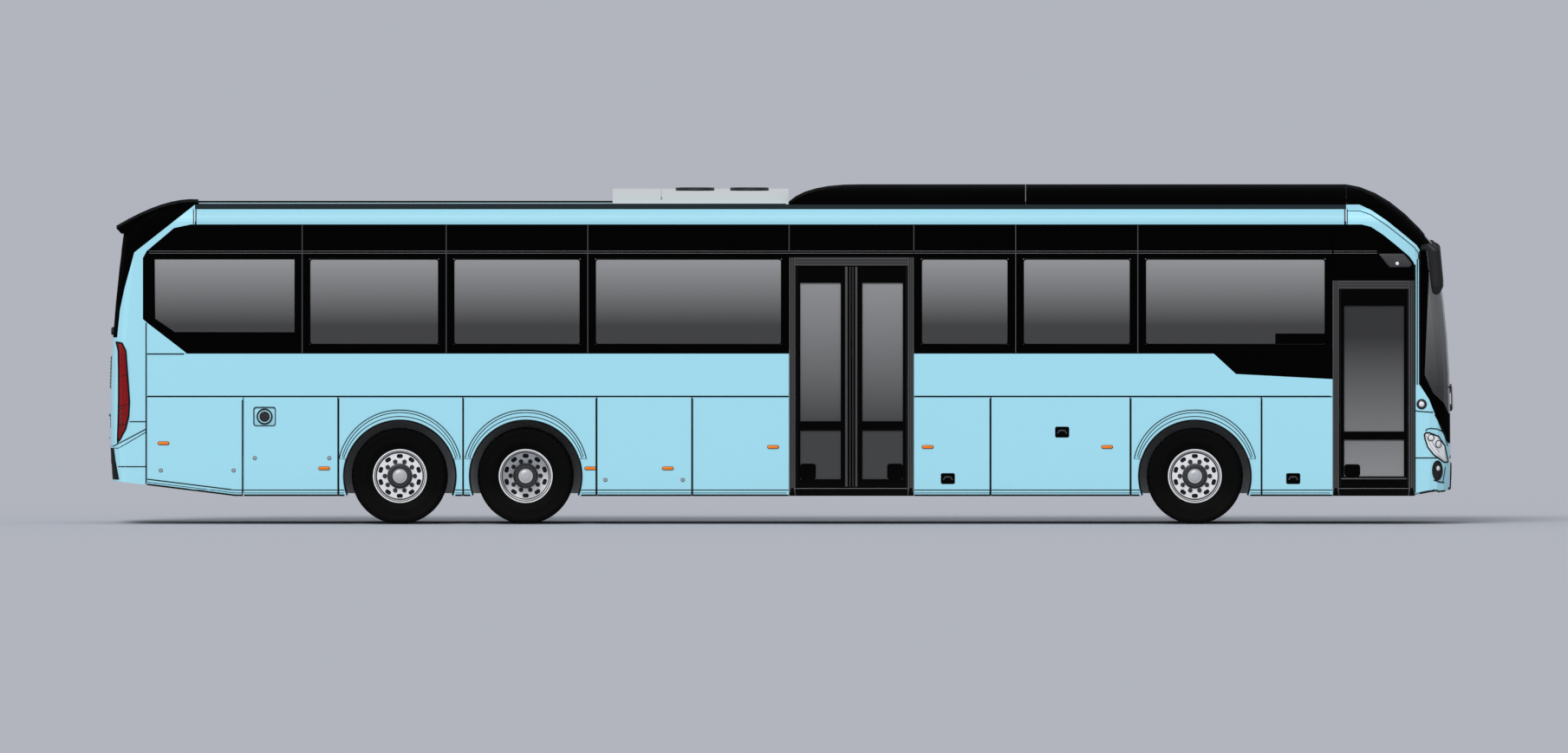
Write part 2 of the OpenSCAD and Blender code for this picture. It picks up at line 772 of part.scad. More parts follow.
spoiler = concat(curve([tail_joint_x + 40, roof_z + 27], [tail_joint_x - 330, roof_z + 60],
    [-rear_reach + 62, 3301], 8), [[-rear_reach + 120, 3240], [-rear_reach + 300, 3270],
    [tail_joint_x - 110, roof_z - 40], [tail_joint_x - 30, roof_z + seat], [tail_joint_x + 40, roof_z + seat]]);
spoiler_hw = hw - 110;
rear_glass_y = hw - 345;
rear_glass_z = [2190, header_z - 28];
module rear_mask() {
    color(black) {
        difference() {
            union() {
                intersection() {
                    tail_shell(wall);
                    side_prism(rear_mask_outline, [-far, far]);
                }
                side_prism(spoiler, [-spoiler_hw, spoiler_hw]);
            }
            rear_glass_cut();
        }
    }
}
module rear_glass_cut() {
    block([-rear_reach - wall, tail_line_x], [-rear_glass_y, rear_glass_y], rear_glass_z);
}
module rear_window() {
    color(tint) intersection() {
        tail_shell(2 * glass_t);
        rear_glass_cut();
    }
}
module tail_lamp_cuts() {
    both_sides() side_prism(tail_lamp, [-far, -hatch_y - wall]);
}
module rear_quarters() {
    color(blue) difference() {
        intersection() {
            tail_shell(wall);
            side_prism(quarter_outline, [-far, far]);
        }
        block([-rear_reach - wall, tail_joint_x], [-hatch_y, hatch_y], [hatch_z[0] - 100, hatch_z[1] + seat]);
        tail_lamp_cuts();
    }
}
module tail_lamps() {
    color("#c8141c") intersection() {
        tail_shell(wall);
        tail_lamp_cuts();
    }
}
module rear_bumper() {
    color(blue) difference() {
        intersection() {
            tail_shell(wall);
            side_prism(rear_bumper_outline, [-far, far]);
        }
        tail_rise();
        block([-rear_reach - wall, tail_line_x], [-hatch_y, hatch_y], [hatch_z[0] - 20 - seat, roof_z]);
    }
}
// Hatch over the rear compartment, hung from a bead along its top edge
hatch_axis = [tail_x(hatch_z[1]) + bead, hatch_z[1] - bead - run];
module rear_hatch() {
    y = hatch_y - flap_gap;
    color(blue) {
        intersection() {
            tail_shell(flap_t);
            block([-rear_reach - wall, tail_line_x], [-y, y],
                [hatch_z[0] - 20 + flap_gap, hatch_axis[1] - bead]);
        }
        block([hatch_axis[0] - bead + 1, hatch_axis[0] + bead], [-y, y], [hatch_axis[1] - 2 * bead, hatch_axis[1]]);
        across(hatch_axis[0], hatch_axis[1], bead, [-y, y]);
    }
}

// Roof equipment

fairing_start = mid_portal[0] - 6;
fairing_split = mid_portal[1] + 1248;
fairing_profile = concat(curve([fairing_start, roof_z + seat], [fairing_start + 200, fairing_z],
    [fairing_start + 800, fairing_z], 6), [[joint_x, fairing_z], [joint_x, roof_z + seat]]);
fairing_t = 40;
module roof_fairing() {
    f = fairing(0);
    g = fairing(fairing_t);
    color(black) difference() {
        intersection() {
            long_prism(concat(f, mirrored(f)), [fairing_start, joint_x]);
            side_prism(fairing_profile, [-far, far]);
        }
        intersection() {
            long_prism(concat(g, mirrored(g)), [fairing_start, joint_x + fairing_t]);
            translate([fairing_t, 0, -fairing_t]) side_prism(fairing_profile, [-far, far]);
        }
        block([fairing_split - 2, fairing_split + 2], [-far, far], [roof_z, fairing_z + fairing_t]);
    }
}
unit_hw = hw - 295;
unit_x = [fairing_start - 1964, fairing_start - seat];
unit_z = roof_z + 53;
unit_top = roof_z + 149;
unit_split = unit_x[0] + 544;
fan_pitch = unit_hw - 380;
fan_gap = 186;
fan_r = (fan_pitch - fan_gap) / 2;
module roof_unit() {
    color(pale) {
        block(unit_x, [-unit_hw, unit_hw], [roof_z + seat, unit_z]);
        block([unit_x[0], unit_split - shut / 2], [-unit_hw, unit_hw], [unit_z + seat, unit_top]);
        difference() {
            block([unit_split + shut / 2, unit_x[1]], [-unit_hw, unit_hw], [unit_z + seat, unit_top]);
            for (x = [unit_split + 375, unit_split + 983], k = [-1 : 1])
                translate([x, k * fan_pitch, unit_top - 40]) cylinder(r = fan_r, h = wall);
        }
    }
}

// Floor, steps and underfloor

floor_t = 50;
floor_y = inner_y - seat;
steps_in = 1000;
tread = 250;
step_y = -inner_y + steps_in;
plate = 20;
bay_floor_z = [skirt_z + 14, skirt_z + 54];

module cabin_floor() {
    z = [floor_z - floor_t, floor_z];
    color(dark) {
        block([tail_line_x, mid_portal[0] - seat], [-floor_y, floor_y], z);
        block([mid_portal[0], mid_portal[1]], [step_y, floor_y], z);
        block([mid_portal[1] + seat, front_portal[0] - seat], [-floor_y, floor_y], z);
        block([front_portal[0], front_portal[1] + wall], [step_y, floor_y], z);
    }
}
module steps_at(x) {
    rise = (floor_z - sill_z) / (steps_in / tread);
    for (k = [0 : steps_in / tread - 1])
        block([x[0] + post + seat, x[1] - post - seat],
            [-inner_y + seat + k * tread, -inner_y + (k + 1) * tread - seat],
            [skirt_z + plate, sill_z + k * rise]);
    // Walls beside the steps, from the floor down
    for (p = [[x[0] + seat, x[0] + post], [x[1] - post, x[1] - seat]])
        block(p, [-inner_y + seat, step_y - seat], [skirt_z + plate, floor_z - seat]);
}
module door_steps() {
    color(dark) {
        steps_at(mid_portal);
        steps_at(front_portal);
    }
}

house_y = 520;
house_z = tyre_r + 662;
house_half = 680;
axle_slot = 260;
axle_room = 162;
module wheelhouse(x, axles) {
    y = [-inner_y + seat, -house_y];
    block(x, y, [house_z - plate, house_z]);
    for (p = [[x[0], x[0] + plate], [x[1] - plate, x[1]]]) block(p, y, [skirt_z + plate, house_z - plate - seat]);
    // The inner wall is open round the axles
    difference() {
        block([x[0] + plate + seat, x[1] - plate - seat], [-house_y - plate, -house_y],
            [skirt_z + plate, house_z - plate - seat]);
        for (a = axles) block([a - axle_slot, a + axle_slot], [-house_y - 2 * plate, -house_y + plate],
            [0, tyre_r + axle_room]);
    }
}
module wheelhouses() {
    color(dark) both_sides() {
        wheelhouse([front_axle_x - house_half, front_axle_x + house_half], [front_axle_x]);
        wheelhouse([tag_axle_x - house_half, drive_axle_x + house_half], [tag_axle_x, drive_axle_x]);
    }
}

// Cross walls and floors of the luggage bays
module bay(x) {
    y = inner_y - seat - 40;
    for (p = [[x[0], x[0] + plate], [x[1] - plate, x[1]]])
        block(p, [-y, y], [bay_floor_z[0], floor_z - floor_t - seat]);
    block([x[0] + plate + seat, x[1] - plate - seat], [-y, y], bay_floor_z);
}
module bulkheads() {
    color(grey) {
        bay([drive_axle_x + house_half + seat, mid_portal[0] - seat]);
        bay([mid_portal[1] + seat, front_axle_x - house_half - seat]);
        block([mid_portal[0], mid_portal[1]], [step_y + seat, inner_y - 40], bay_floor_z);
    }
}

rail_y = [360, 440];
rail_z = [760, 920];
spring_y = 400;
spring_r = 105;
module rails(x) {
    both_sides() block(x, [-rail_y[1], -rail_y[0]], rail_z);
}
axle_r = 90;
module chassis_frame() {
    front_rails = [front_axle_x - house_half, front_portal[0] - 40];
    rear_rails = [tail_line_x + 60, drive_axle_x + house_half];
    color(dark) {
        rails(front_rails);
        rails(rear_rails);
        for (x = [front_rails[0] + 60, front_rails[1] - 140, rear_rails[0] + 40, tag_axle_x - 720, drive_axle_x + 500])
            block([x, x + 80], [-rail_y[0], rail_y[0]], [rail_z[0] + 20, rail_z[1] - 20]);
        // Posts that carry the floor
        for (x = [front_rails[0] + 60, front_rails[1] - 140, rear_rails[0] + 40, tag_axle_x - 720, bogie_line, drive_axle_x + 500])
            both_sides() block([x, x + 80], [-rail_y[1], -rail_y[0]], [rail_z[1], floor_z - floor_t - seat]);
        // Air springs over the axles
        both_sides() {
            translate([front_axle_x, -spring_y, tyre_r - 18 + seat]) cylinder(r = spring_r, h = rail_z[0] - tyre_r + 18 - seat);
            for (x = [drive_axle_x, tag_axle_x])
                translate([x, -spring_y, tyre_r + axle_r + seat]) cylinder(r = spring_r, h = rail_z[0] - tyre_r - axle_r - seat);
        }
    }
}

pack_gap = 40;
pack_hw = inner_y - 165;
module traction_batteries() {
    x0 = tail_line_x + 220;
    x1 = tag_line - 60;
    color(grey) for (k = [0 : 1])
        block([x0 + k * (x1 - x0 + pack_gap) / 2, x0 + (k + 1) * (x1 - x0 + pack_gap) / 2 - pack_gap],
            [-pack_hw, pack_hw], [rail_z[1] + 120, floor_z - floor_t - 30]);
    color(dark) for (k = [0 : 1], y = [-1, 1])
        block([x0 + k * (x1 - x0 + pack_gap) / 2 + 100, x0 + (k + 1) * (x1 - x0 + pack_gap) / 2 - pack_gap - 100],
            [y * spring_y - 40, y * spring_y + 40], [rail_z[1] + seat, rail_z[1] + 120 - seat]);
}

// Inside

seat_w = 920;
seat_in = inner_y - 40 - seat_w;
pitch = 830;
// Side views of a seat's back and cushion, as [ahead of its rear edge, above the floor]
leg_top = 380;
back_side = [[-5, leg_top], [75, leg_top], [90, 470], [-60, 1100], [-130, 1130], [-150, 1080]];
cushion_side = [[75 + seat, leg_top], [430, leg_top], [450, 480], [90 + seat, 470]];
leg_x = [100, 380];
leg_w = 60;
function seat_side(p, x) = [for (q = p) [x + q[0], floor_z + q[1]]];
bench_y = [-seat_in - seat_w, -seat_in];
driver_y = [-inner_y + 90, -inner_y + 750];
module bench(x, y) {
    for (p = [back_side, cushion_side]) side_prism(seat_side(p, x), y);
    for (foot = [y[0] + 80, y[1] - 200])
        block([x + leg_x[0], x + leg_x[1]], [foot, foot + leg_w], [floor_z + seat, floor_z + leg_top - seat]);
}
rows_behind = [for (x = [tail_line_x + 500 : pitch : mid_portal[0] - 560]) x];
rows_ahead = [for (x = [mid_portal[1] + 260 : pitch : front_portal[0] - 560]) x];
module seats() {
    color("#3b4252") {
        both_sides() for (x = concat(rows_behind, rows_ahead)) bench(x, bench_y);
        mirror([0, 1, 0]) bench(mid_door_x - 250, bench_y);
        mirror([0, 1, 0]) bench(front_portal[0] + 180, driver_y);
    }
}
dash_y = inner_y - 150;
wheel_pos = [strip_x - 130, 640, floor_z + 720];
module dashboard() {
    color(dark) {
        side_prism([[strip_x - 40, floor_z + seat], [strip_x + 50, floor_z + seat], [strip_x + 60, floor_z + 560],
            [strip_x - 20, floor_z + 620], [strip_x - 90, floor_z + 560]], [-60, dash_y]);
        translate(wheel_pos) rotate([0, -30, 0]) {
            rotate_extrude() translate([225, 0]) circle(r = 16, $fn = 24);
            cylinder(r = 60, h = 30, center = true);
            for (a = [0 : 120 : 240]) rotate(a) translate([0, -14, -8]) cube([225, 28, 16]);
            rotate([180, 0, 0]) cylinder(r = 30, h = 190);
        }
    }
}

// Axles and wheels

beam_z = [tyre_r - 120, tyre_r - 18];
fork_h = 60;
eye_r = 52;
eye_z = 66;
module front_axle() {
    color(dark) difference() {
        union() {
            block([front_axle_x - 55, front_axle_x + 55], [-kingpin_y + 60, kingpin_y - 60], beam_z);
            both_sides() {
                block([front_axle_x - 45, front_axle_x + 45], [-kingpin_y, -kingpin_y + 100], [tyre_r - eye_z, tyre_r - 18]);
                translate([front_axle_x, -kingpin_y, tyre_r - eye_z]) cylinder(r = eye_r, h = 2 * eye_z);
                block([front_axle_x - 105, front_axle_x + 105], [-spring_y - 105, -spring_y + 105], [beam_z[1] - 30, beam_z[1]]);
            }
        }
        both_sides() translate([front_axle_x, -kingpin_y, 0]) cylinder(r = kingpin_r + run, h = 3 * tyre_r);
    }
}
spindle_end = wheel_y + 42;
// Right-hand knuckle: kingpin, fork and spindle
module knuckle() {
    ear = 34;
    translate([front_axle_x, -kingpin_y, 0]) {
        translate([0, 0, tyre_r - eye_z - run - ear]) cylinder(r = kingpin_r, h = 2 * (eye_z + run + ear));
        for (z = [tyre_r - eye_z - run - ear, tyre_r + eye_z + run]) translate([0, 0, z]) {
            cylinder(r = eye_r, h = ear);
            block([-eye_r, eye_r], [-eye_r - 44, 0], [0, ear]);
        }
        block([-eye_r, eye_r], [-eye_r - 44, -eye_r - 8], [tyre_r - eye_z - run - ear, tyre_r + eye_z + run + ear]);
    }
    across(front_axle_x, tyre_r, spindle_r, [-spindle_end, -kingpin_y - eye_r - 30]);
}
module knuckle_right() {
    color(dark) knuckle();
}
module knuckle_left() {
    color(dark) mirror([0, 1, 0]) knuckle();
}

motor_r = 190;
module dead_axle(x) {
    across(x, tyre_r, axle_r, [-hub_in, hub_in]);
    both_sides() across(x, tyre_r, spindle_r, [-spindle_end, -hub_in]);
    both_sides() block([x - 105, x + 105], [-spring_y - 105, -spring_y + 105], [tyre_r, tyre_r + axle_r]);
}
hub_in = wheel_y - 70;
twin_in = wheel_y - twin - 190;
module drive_axle() {
    color(dark) {
        across(drive_axle_x, tyre_r, axle_r, [-twin_in, twin_in]);
        both_sides() across(drive_axle_x, tyre_r, spindle_r, [-spindle_end, -twin_in]);
        both_sides() block([drive_axle_x - 105, drive_axle_x + 105], [-spring_y - 105, -spring_y + 105],
            [tyre_r, tyre_r + axle_r]);
        // Motor and gear casing in the middle of the axle
        across(drive_axle_x, tyre_r, motor_r, [-150, 150]);
        translate([drive_axle_x + 300, 0, tyre_r + 20]) rotate([90, 0, 0]) cylinder(r = motor_r - 20, h = 520, center = true);
        block([drive_axle_x, drive_axle_x + 300], [-130, 130], [tyre_r - 130, tyre_r + 130]);
    }
}
module tag_axle() {
    color(dark) dead_axle(tag_axle_x);
}

// Wheel pieces are turned about Z with +Z outward, and then laid over to their side
module wheel_at(x, y, s) {
    translate([x, s * y, tyre_r]) rotate([-90 * s, 0, 0]) children();
}
half_w = tyre_w / 2;
tread_w = half_w - 42;
bead_w = half_w - 34;
module tyre() {
    outer = [[bead_r, bead_w], [bead_r + 18, bead_w], [bead_r + 48, half_w - 14], [bead_r + 134, half_w],
        [tyre_r - 50, half_w - 6], [tyre_r - 14, half_w - 24], [tyre_r, tread_w]];
    inside = [[tyre_r - 30, tread_w - 12], [tyre_r - 70, half_w - 30], [bead_r + 130, half_w - 22],
        [bead_r + 50, half_w - 38], [bead_r + 14, bead_w - 24], [bead_r, bead_w - 24]];
    half = concat(outer, [for (k = [len(outer) - 1 : -1 : 0]) [outer[k][0], -outer[k][1]]]);
    hole = concat([for (k = [len(inside) - 1 : -1 : 0]) [inside[k][0], -inside[k][1]]], inside);
    rotate_extrude($fn = 96) polygon(concat(half, hole));
}
flange_r = bead_r + 14;
barrel_t = 12;
disc_z = [half_w - 50, half_w - 36];
disc_r = 140;
stud_r = 167;
nut_sink = 4;
hole_ring = 222;
// Rim with its disc outside the middle plane; dish is +1 for an outer face near the flange, -1 for a deep dish
module rim(dish) {
    b = bead_r - run;
    e = bead_w + 10;
    z = dish > 0 ? disc_z : [-disc_z[1], -disc_z[0]];
    difference() {
        union() {
            rotate_extrude($fn = 96) polygon([[b - barrel_t, -e], [flange_r, -e], [flange_r, -bead_w - run], [b, -bead_w - run],
                [b, bead_w + run], [flange_r, bead_w + run], [flange_r, e], [b - barrel_t, e]]);
            translate([0, 0, z[0]]) difference() {
                cylinder(r = b - barrel_t / 2, h = z[1] - z[0], $fn = 96);
                translate([0, 0, -1]) cylinder(r = disc_r + run, h = z[1] - z[0] + 2, $fn = 96);
            }
            for (k = [0 : studs - 1]) rotate(k * 360 / studs) translate([stud_r, 0, z[1] - nut_sink]) {
                cylinder(r = 21, h = 6 + nut_sink);
                cylinder(r = 17, h = 26, $fn = 6);
            }
        }
        for (k = [0 : studs - 1]) rotate((k + 0.5) * 360 / studs) translate([hole_ring, 0, z[0] - 1])
            for (y = [-11, 11]) translate([0, y, 0]) cylinder(r = 24, h = z[1] - z[0] + 2, $fn = 32);
    }
}
hub_gap = 5;
module hub(back, face) {
    b = spindle_r + run;
    nose_z = face + 44;
    rotate_extrude($fn = 96) polygon([[b, back], [112, back], [112, face - 36], [195, face - 36], [195, face - seat],
        [disc_r, face - seat], [disc_r, face + 22], [118, nose_z - 14], [118, nose_z], [88, nose_z], [80, nose_z + 12],
        [0, nose_z + 12], [0, spindle_end - wheel_y + hub_gap], [b, spindle_end - wheel_y + hub_gap]]);
}
hub_back = -44;
module single_wheel() {
    rim(1);
    hub(hub_back, disc_z[0]);
}
// Twin wheels: the outer one is dished, the inner one faces it, and a drum between them carries both
module twin_wheels() {
    rim(-1);
    translate([0, 0, -twin]) rim_plain();
    b = spindle_r + run;
    face = -disc_z[1] - seat;
    rear = -twin + disc_z[1] + seat;
    rotate_extrude($fn = 96) polygon([[b, -twin - 150], [120, -twin - 150], [120, rear], [195, rear], [195, face],
        [disc_r, face], [disc_r, 40], [118, 70], [118, 92], [88, 92], [80, 106], [0, 106],
        [0, spindle_end - wheel_y + hub_gap], [b, spindle_end - wheel_y + hub_gap]]);
}
module rim_plain() {
    b = bead_r - run;
    e = bead_w + 10;
    rotate_extrude($fn = 96) polygon([[b - barrel_t, -e], [flange_r, -e], [flange_r, -bead_w - run], [b, -bead_w - run],
        [b, bead_w + run], [flange_r, bead_w + run], [flange_r, e], [b - barrel_t, e], [b - barrel_t, disc_z[1]],
        [120 + run, disc_z[1]], [120 + run, disc_z[0]], [b - barrel_t, disc_z[0]]]);
}

module front_tyre_left() {
    color(black) wheel_at(front_axle_x, wheel_y, 1) tyre();
}
module front_tyre_right() {
    color(black) wheel_at(front_axle_x, wheel_y, -1) tyre();
}
module front_rim_left() {
    color(pale) wheel_at(front_axle_x, wheel_y, 1) single_wheel();
}
module front_rim_right() {
    color(pale) wheel_at(front_axle_x, wheel_y, -1) single_wheel();
}
module tag_tyre_left() {
    color(black) wheel_at(tag_axle_x, wheel_y, 1) tyre();
}
module tag_tyre_right() {
    color(black) wheel_at(tag_axle_x, wheel_y, -1) tyre();
}
module tag_rim_left() {
    color(pale) wheel_at(tag_axle_x, wheel_y, 1) single_wheel();
}
module tag_rim_right() {
    color(pale) wheel_at(tag_axle_x, wheel_y, -1) single_wheel();
}
module drive_tyres_left() {
    color(black) for (y = [wheel_y, wheel_y - twin]) wheel_at(drive_axle_x, y, 1) tyre();
}
module drive_tyres_right() {
    color(black) for (y = [wheel_y, wheel_y - twin]) wheel_at(drive_axle_x, y, -1) tyre();
}
module drive_rims_left() {
    color(pale) wheel_at(drive_axle_x, wheel_y, 1) twin_wheels();
}
module drive_rims_right() {
    color(pale) wheel_at(drive_axle_x, wheel_y, -1) twin_wheels();
}

roof_panel();
roof_gutters();
cove_panels();
side_headers();
window_bands();
side_glass();
waist_panels();
skirt_panels();
door_portals();
front_mask();
windscreen();
front_corners();
front_panel();
front_bumper();
front_lamps();
rear_mask();
rear_window();
rear_quarters();
rear_bumper();
tail_lamps();
roof_fairing();
roof_unit();
mirrors();
cabin_floor();
door_steps();
wheelhouses();
bulkheads();
chassis_frame();
seats();
dashboard();
traction_batteries();
front_axle();
drive_axle();
tag_axle();
knuckle_left();
knuckle_right();
front_tyre_left();
front_tyre_right();
front_rim_left();
front_rim_right();
drive_tyres_left();
drive_tyres_right();
drive_rims_left();
drive_rims_right();
tag_tyre_left();
tag_tyre_right();
tag_rim_left();
tag_rim_right();
front_door();
front_door_arms();
mid_door_rear();
mid_door_rear_arms();
mid_door_front();
mid_door_front_arms();
door_flap_tail();
door_flap_charge();
door_flap_rear_bay();
door_flap_front_bay();
left_flap_rear_bay();
rear_hatch();
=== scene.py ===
# %% [markdown]
# # Dressing an electric intercity coach
# The solids of the coach come in as a fixed frame, in metres: X forward, Y to the left, Z up.
# This lesson gives each of them a finish, and adds what is too fine for the solids: tread, locks,
# lamps' insides, wipers, seat cushions and trim. Every added piece rides on one of the coach's bodies,
# so it moves with its wheel, door or flap.

# %% Load the frame
import math

import bmesh
import bpy
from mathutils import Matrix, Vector
from mathutils.bvhtree import BVHTree


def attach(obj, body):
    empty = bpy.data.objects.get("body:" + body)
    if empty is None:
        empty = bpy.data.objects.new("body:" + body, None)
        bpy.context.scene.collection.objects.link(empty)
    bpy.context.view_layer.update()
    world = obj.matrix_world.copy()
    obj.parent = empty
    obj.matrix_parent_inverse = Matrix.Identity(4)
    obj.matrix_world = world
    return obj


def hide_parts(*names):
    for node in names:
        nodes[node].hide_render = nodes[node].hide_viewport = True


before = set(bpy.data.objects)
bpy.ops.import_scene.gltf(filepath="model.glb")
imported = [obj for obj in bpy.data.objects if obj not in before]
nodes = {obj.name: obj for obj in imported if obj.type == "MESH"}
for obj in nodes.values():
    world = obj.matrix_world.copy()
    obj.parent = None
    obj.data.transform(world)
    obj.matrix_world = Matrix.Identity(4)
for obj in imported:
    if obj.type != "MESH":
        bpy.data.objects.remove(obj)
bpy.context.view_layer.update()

# %% [markdown]
# ## Camera
# The picture is a flat side view, so the camera is orthographic and looks along +Y. It stands less than
# a degree above the horizon: the road then fills the whole frame behind the coach, and the shadow
# under it shows as a thin strip. It stands far off, so that even its lowest rays start above the road.

# %% Camera at the side view
PIXEL = 0.009676
PICTURE_W = 1809
HALF_W = 1.275
CAMERA_TILT = math.radians(0.8)
CAMERA_FAR = 320.0
look_at = Vector((0.0387, -HALF_W, 1.650))

camera = bpy.data.objects.new("camera", bpy.data.cameras.new("camera"))
camera.data.type = "ORTHO"
camera.data.ortho_scale = PICTURE_W * PIXEL
camera.data.clip_start = 1.0
camera.data.clip_end = 3000.0
camera.location = look_at + Vector((0, -math.cos(CAMERA_TILT), math.sin(CAMERA_TILT))) * CAMERA_FAR
camera.rotation_euler = (math.pi / 2 - CAMERA_TILT, 0, 0)
bpy.context.scene.collection.objects.link(camera)
bpy.context.scene.camera = camera
bpy.context.scene.view_settings.view_transform = "Standard"
print("frame is", round(PICTURE_W * PIXEL, 2), "m wide")

# %% [markdown]
# ## Wiring nodes
# The sky and every finish are node trees. Nodes could be laid out by hand in the editor; in a script
# three small helpers keep it short: one makes a node, one sets its sockets, one joins two sockets.

# %% Helpers for node trees


def node_of(tree, kind, **settings):
    node = tree.nodes.new(f"ShaderNode{kind}")
    for key, value in settings.items():
        setattr(node, key, value)
    return node


def set_inputs(node, values):
    for label, value in values.items():
        node.inputs[label].default_value = value


def wire(tree, out_node, out_name, in_node, in_name):
    tree.links.new(out_node.outputs[out_name], in_node.inputs[in_name])


print("node helpers ready")

# %% [markdown]
# ## Sky
# A studio wraps an object in even light. An even white sky does the same here, at a level where a colour
# renders about as it is written. To the camera, in reflections and through glass, the sky shows the
# backdrop's grey instead, which the Light Path node can tell apart.

# %% Sky
BACKDROP = (0.456, 0.474, 0.527, 1)
SKY_LIGHT = 0.55

world = bpy.data.worlds.new("studio")
bpy.context.scene.world = world
world.use_nodes = True
sky = world.node_tree
sky.nodes.clear()
lighting, seen = node_of(sky, "Background"), node_of(sky, "Background")
set_inputs(lighting, {"Color": (1, 1, 1, 1), "Strength": SKY_LIGHT})
set_inputs(seen, {"Color": BACKDROP})
rays = node_of(sky, "LightPath")
glossy_too, glass_too = (node_of(sky, "Math", operation="MAXIMUM") for _ in range(2))
wire(sky, rays, "Is Camera Ray", glossy_too, 0)
wire(sky, rays, "Is Glossy Ray", glossy_too, 1)
wire(sky, glossy_too, 0, glass_too, 0)
wire(sky, rays, "Is Transmission Ray", glass_too, 1)
choose, to_world = node_of(sky, "MixShader"), node_of(sky, "OutputWorld")
wire(sky, glass_too, 0, choose, 0)
wire(sky, lighting, 0, choose, 1)
wire(sky, seen, 0, choose, 2)
wire(sky, choose, 0, to_world, 0)
print("sky of", len(sky.nodes), "nodes")

# %% [markdown]
# ## Sun and road
# One wide sun stands for a large softbox: a small lamp would draw hard shadows that the picture doesn't
# have. The road is a single large sheet in the backdrop's grey, so no edge of it is ever seen.

# %% Sun and road
SUN_LIGHT = 2.0
SUN_WIDTH = math.radians(25)
SUN_FROM = Vector((-0.25, -0.70, 0.66))
ROAD_HALF = 900.0

sun = bpy.data.objects.new("sun", bpy.data.lights.new("sun", "SUN"))
sun.data.energy = SUN_LIGHT
sun.data.angle = SUN_WIDTH
sun.rotation_euler = SUN_FROM.to_track_quat("Z", "Y").to_euler()
bpy.context.scene.collection.objects.link(sun)

road_mesh = bpy.data.meshes.new("road")
road_ends = (-ROAD_HALF, ROAD_HALF)
road_mesh.from_pydata([(x, y, 0) for x in road_ends for y in road_ends], [], [(0, 2, 3, 1)])
road = bpy.data.objects.new("road", road_mesh)
bpy.context.scene.collection.objects.link(road)
print("road of", 2 * ROAD_HALF, "m")

# %% [markdown]
# ## Shared effects
# Paint, plastic and rubber share a few effects, so each effect is a node group, built once and placed in
# every finish with its own values. A group only puts out colours, masks and heights; the shader stays
# in the material, where the export can read it.

# %% Helpers for node groups
COLOR, FLOAT = "NodeSocketColor", "NodeSocketFloat"
MIX_A, MIX_B, MIX_OUT = 6, 7, 2    # the colour sockets of a Mix node, whose names repeat


def new_group(name, takes, gives):
    group = bpy.data.node_groups.new(name, "ShaderNodeTree")
    for label, kind, value in takes:
        group.interface.new_socket(label, in_out="INPUT", socket_type=kind).default_value = value
    for label, kind in gives:
        group.interface.new_socket(label, in_out="OUTPUT", socket_type=kind)
    return group, group.nodes.new("NodeGroupInput"), group.nodes.new("NodeGroupOutput")


def color_mix(tree, factor, a, b):
    """Mixes two colours. Each argument is a node and the name of its output."""
    mix = node_of(tree, "Mix", data_type="RGBA")
    wire(tree, *factor, mix, 0)
    wire(tree, *a, mix, MIX_A)
    wire(tree, *b, mix, MIX_B)
    return mix


print("group helpers ready")

# %% [markdown]
# ## Mottle
# No real surface has one even tone: paint is a little cloudy, and plastic has a fine grain. Two noises
# of different scale give both. A photograph could do it too, but noise has no seams and no edge.

# %% Mottle group
mottle, enter, leave = new_group(
    "Mottle",
    [("Color", COLOR, (1, 1, 1, 1)), ("Deep Color", COLOR, (0, 0, 0, 1)), ("Vary", FLOAT, 0.1),
     ("Cloud Scale", FLOAT, 2.0), ("Grain Scale", FLOAT, 600.0)],
    [("Color", COLOR), ("Grain", FLOAT), ("Cloud", FLOAT)])
place = node_of(mottle, "TexCoord")
cloud, grain = node_of(mottle, "TexNoise"), node_of(mottle, "TexNoise")
for noise, scale, detail in ((cloud, "Cloud Scale", 4), (grain, "Grain Scale", 2)):
    set_inputs(noise, {"Detail": detail})
    wire(mottle, place, "Object", noise, "Vector")
    wire(mottle, enter, scale, noise, "Scale")
tone = node_of(mottle, "Math", operation="MULTIPLY")
wire(mottle, cloud, 0, tone, 0)
wire(mottle, enter, "Vary", tone, 1)
blend = color_mix(mottle, (tone, 0), (enter, "Color"), (enter, "Deep Color"))
wire(mottle, blend, MIX_OUT, leave, "Color")
wire(mottle, grain, 0, leave, "Grain")
wire(mottle, cloud, 0, leave, "Cloud")
print(mottle.name, "group of", len(mottle.nodes), "nodes")

# %% [markdown]
# ## Road dust
# Spray and dust settle on the lower panels and fade out upwards. Painting it by hand would tie it to one
# mesh; here the height of a point sets the amount, and a noise breaks it up into patches.

# %% Road dust group
dust, enter, leave = new_group(
    "Road dust",
    [("Color", COLOR, (1, 1, 1, 1)), ("Dust Color", COLOR, (0.3, 0.27, 0.23, 1)), ("Amount", FLOAT, 0.3),
     ("Height", FLOAT, 0.9)],
    [("Color", COLOR), ("Mask", FLOAT)])
place, split = node_of(dust, "TexCoord"), node_of(dust, "SeparateXYZ")
rise = node_of(dust, "MapRange", interpolation_type="SMOOTHSTEP")
set_inputs(rise, {"From Min": 0.2, "To Min": 1.0, "To Max": 0.0})
spots = node_of(dust, "TexNoise")
set_inputs(spots, {"Scale": 3.5, "Detail": 8})
patchy, strength = (node_of(dust, "Math", operation="MULTIPLY") for _ in range(2))
wire(dust, place, "Object", split, 0)
wire(dust, place, "Object", spots, "Vector")
wire(dust, split, "Z", rise, "Value")
wire(dust, enter, "Height", rise, "From Max")
wire(dust, rise, 0, patchy, 0)
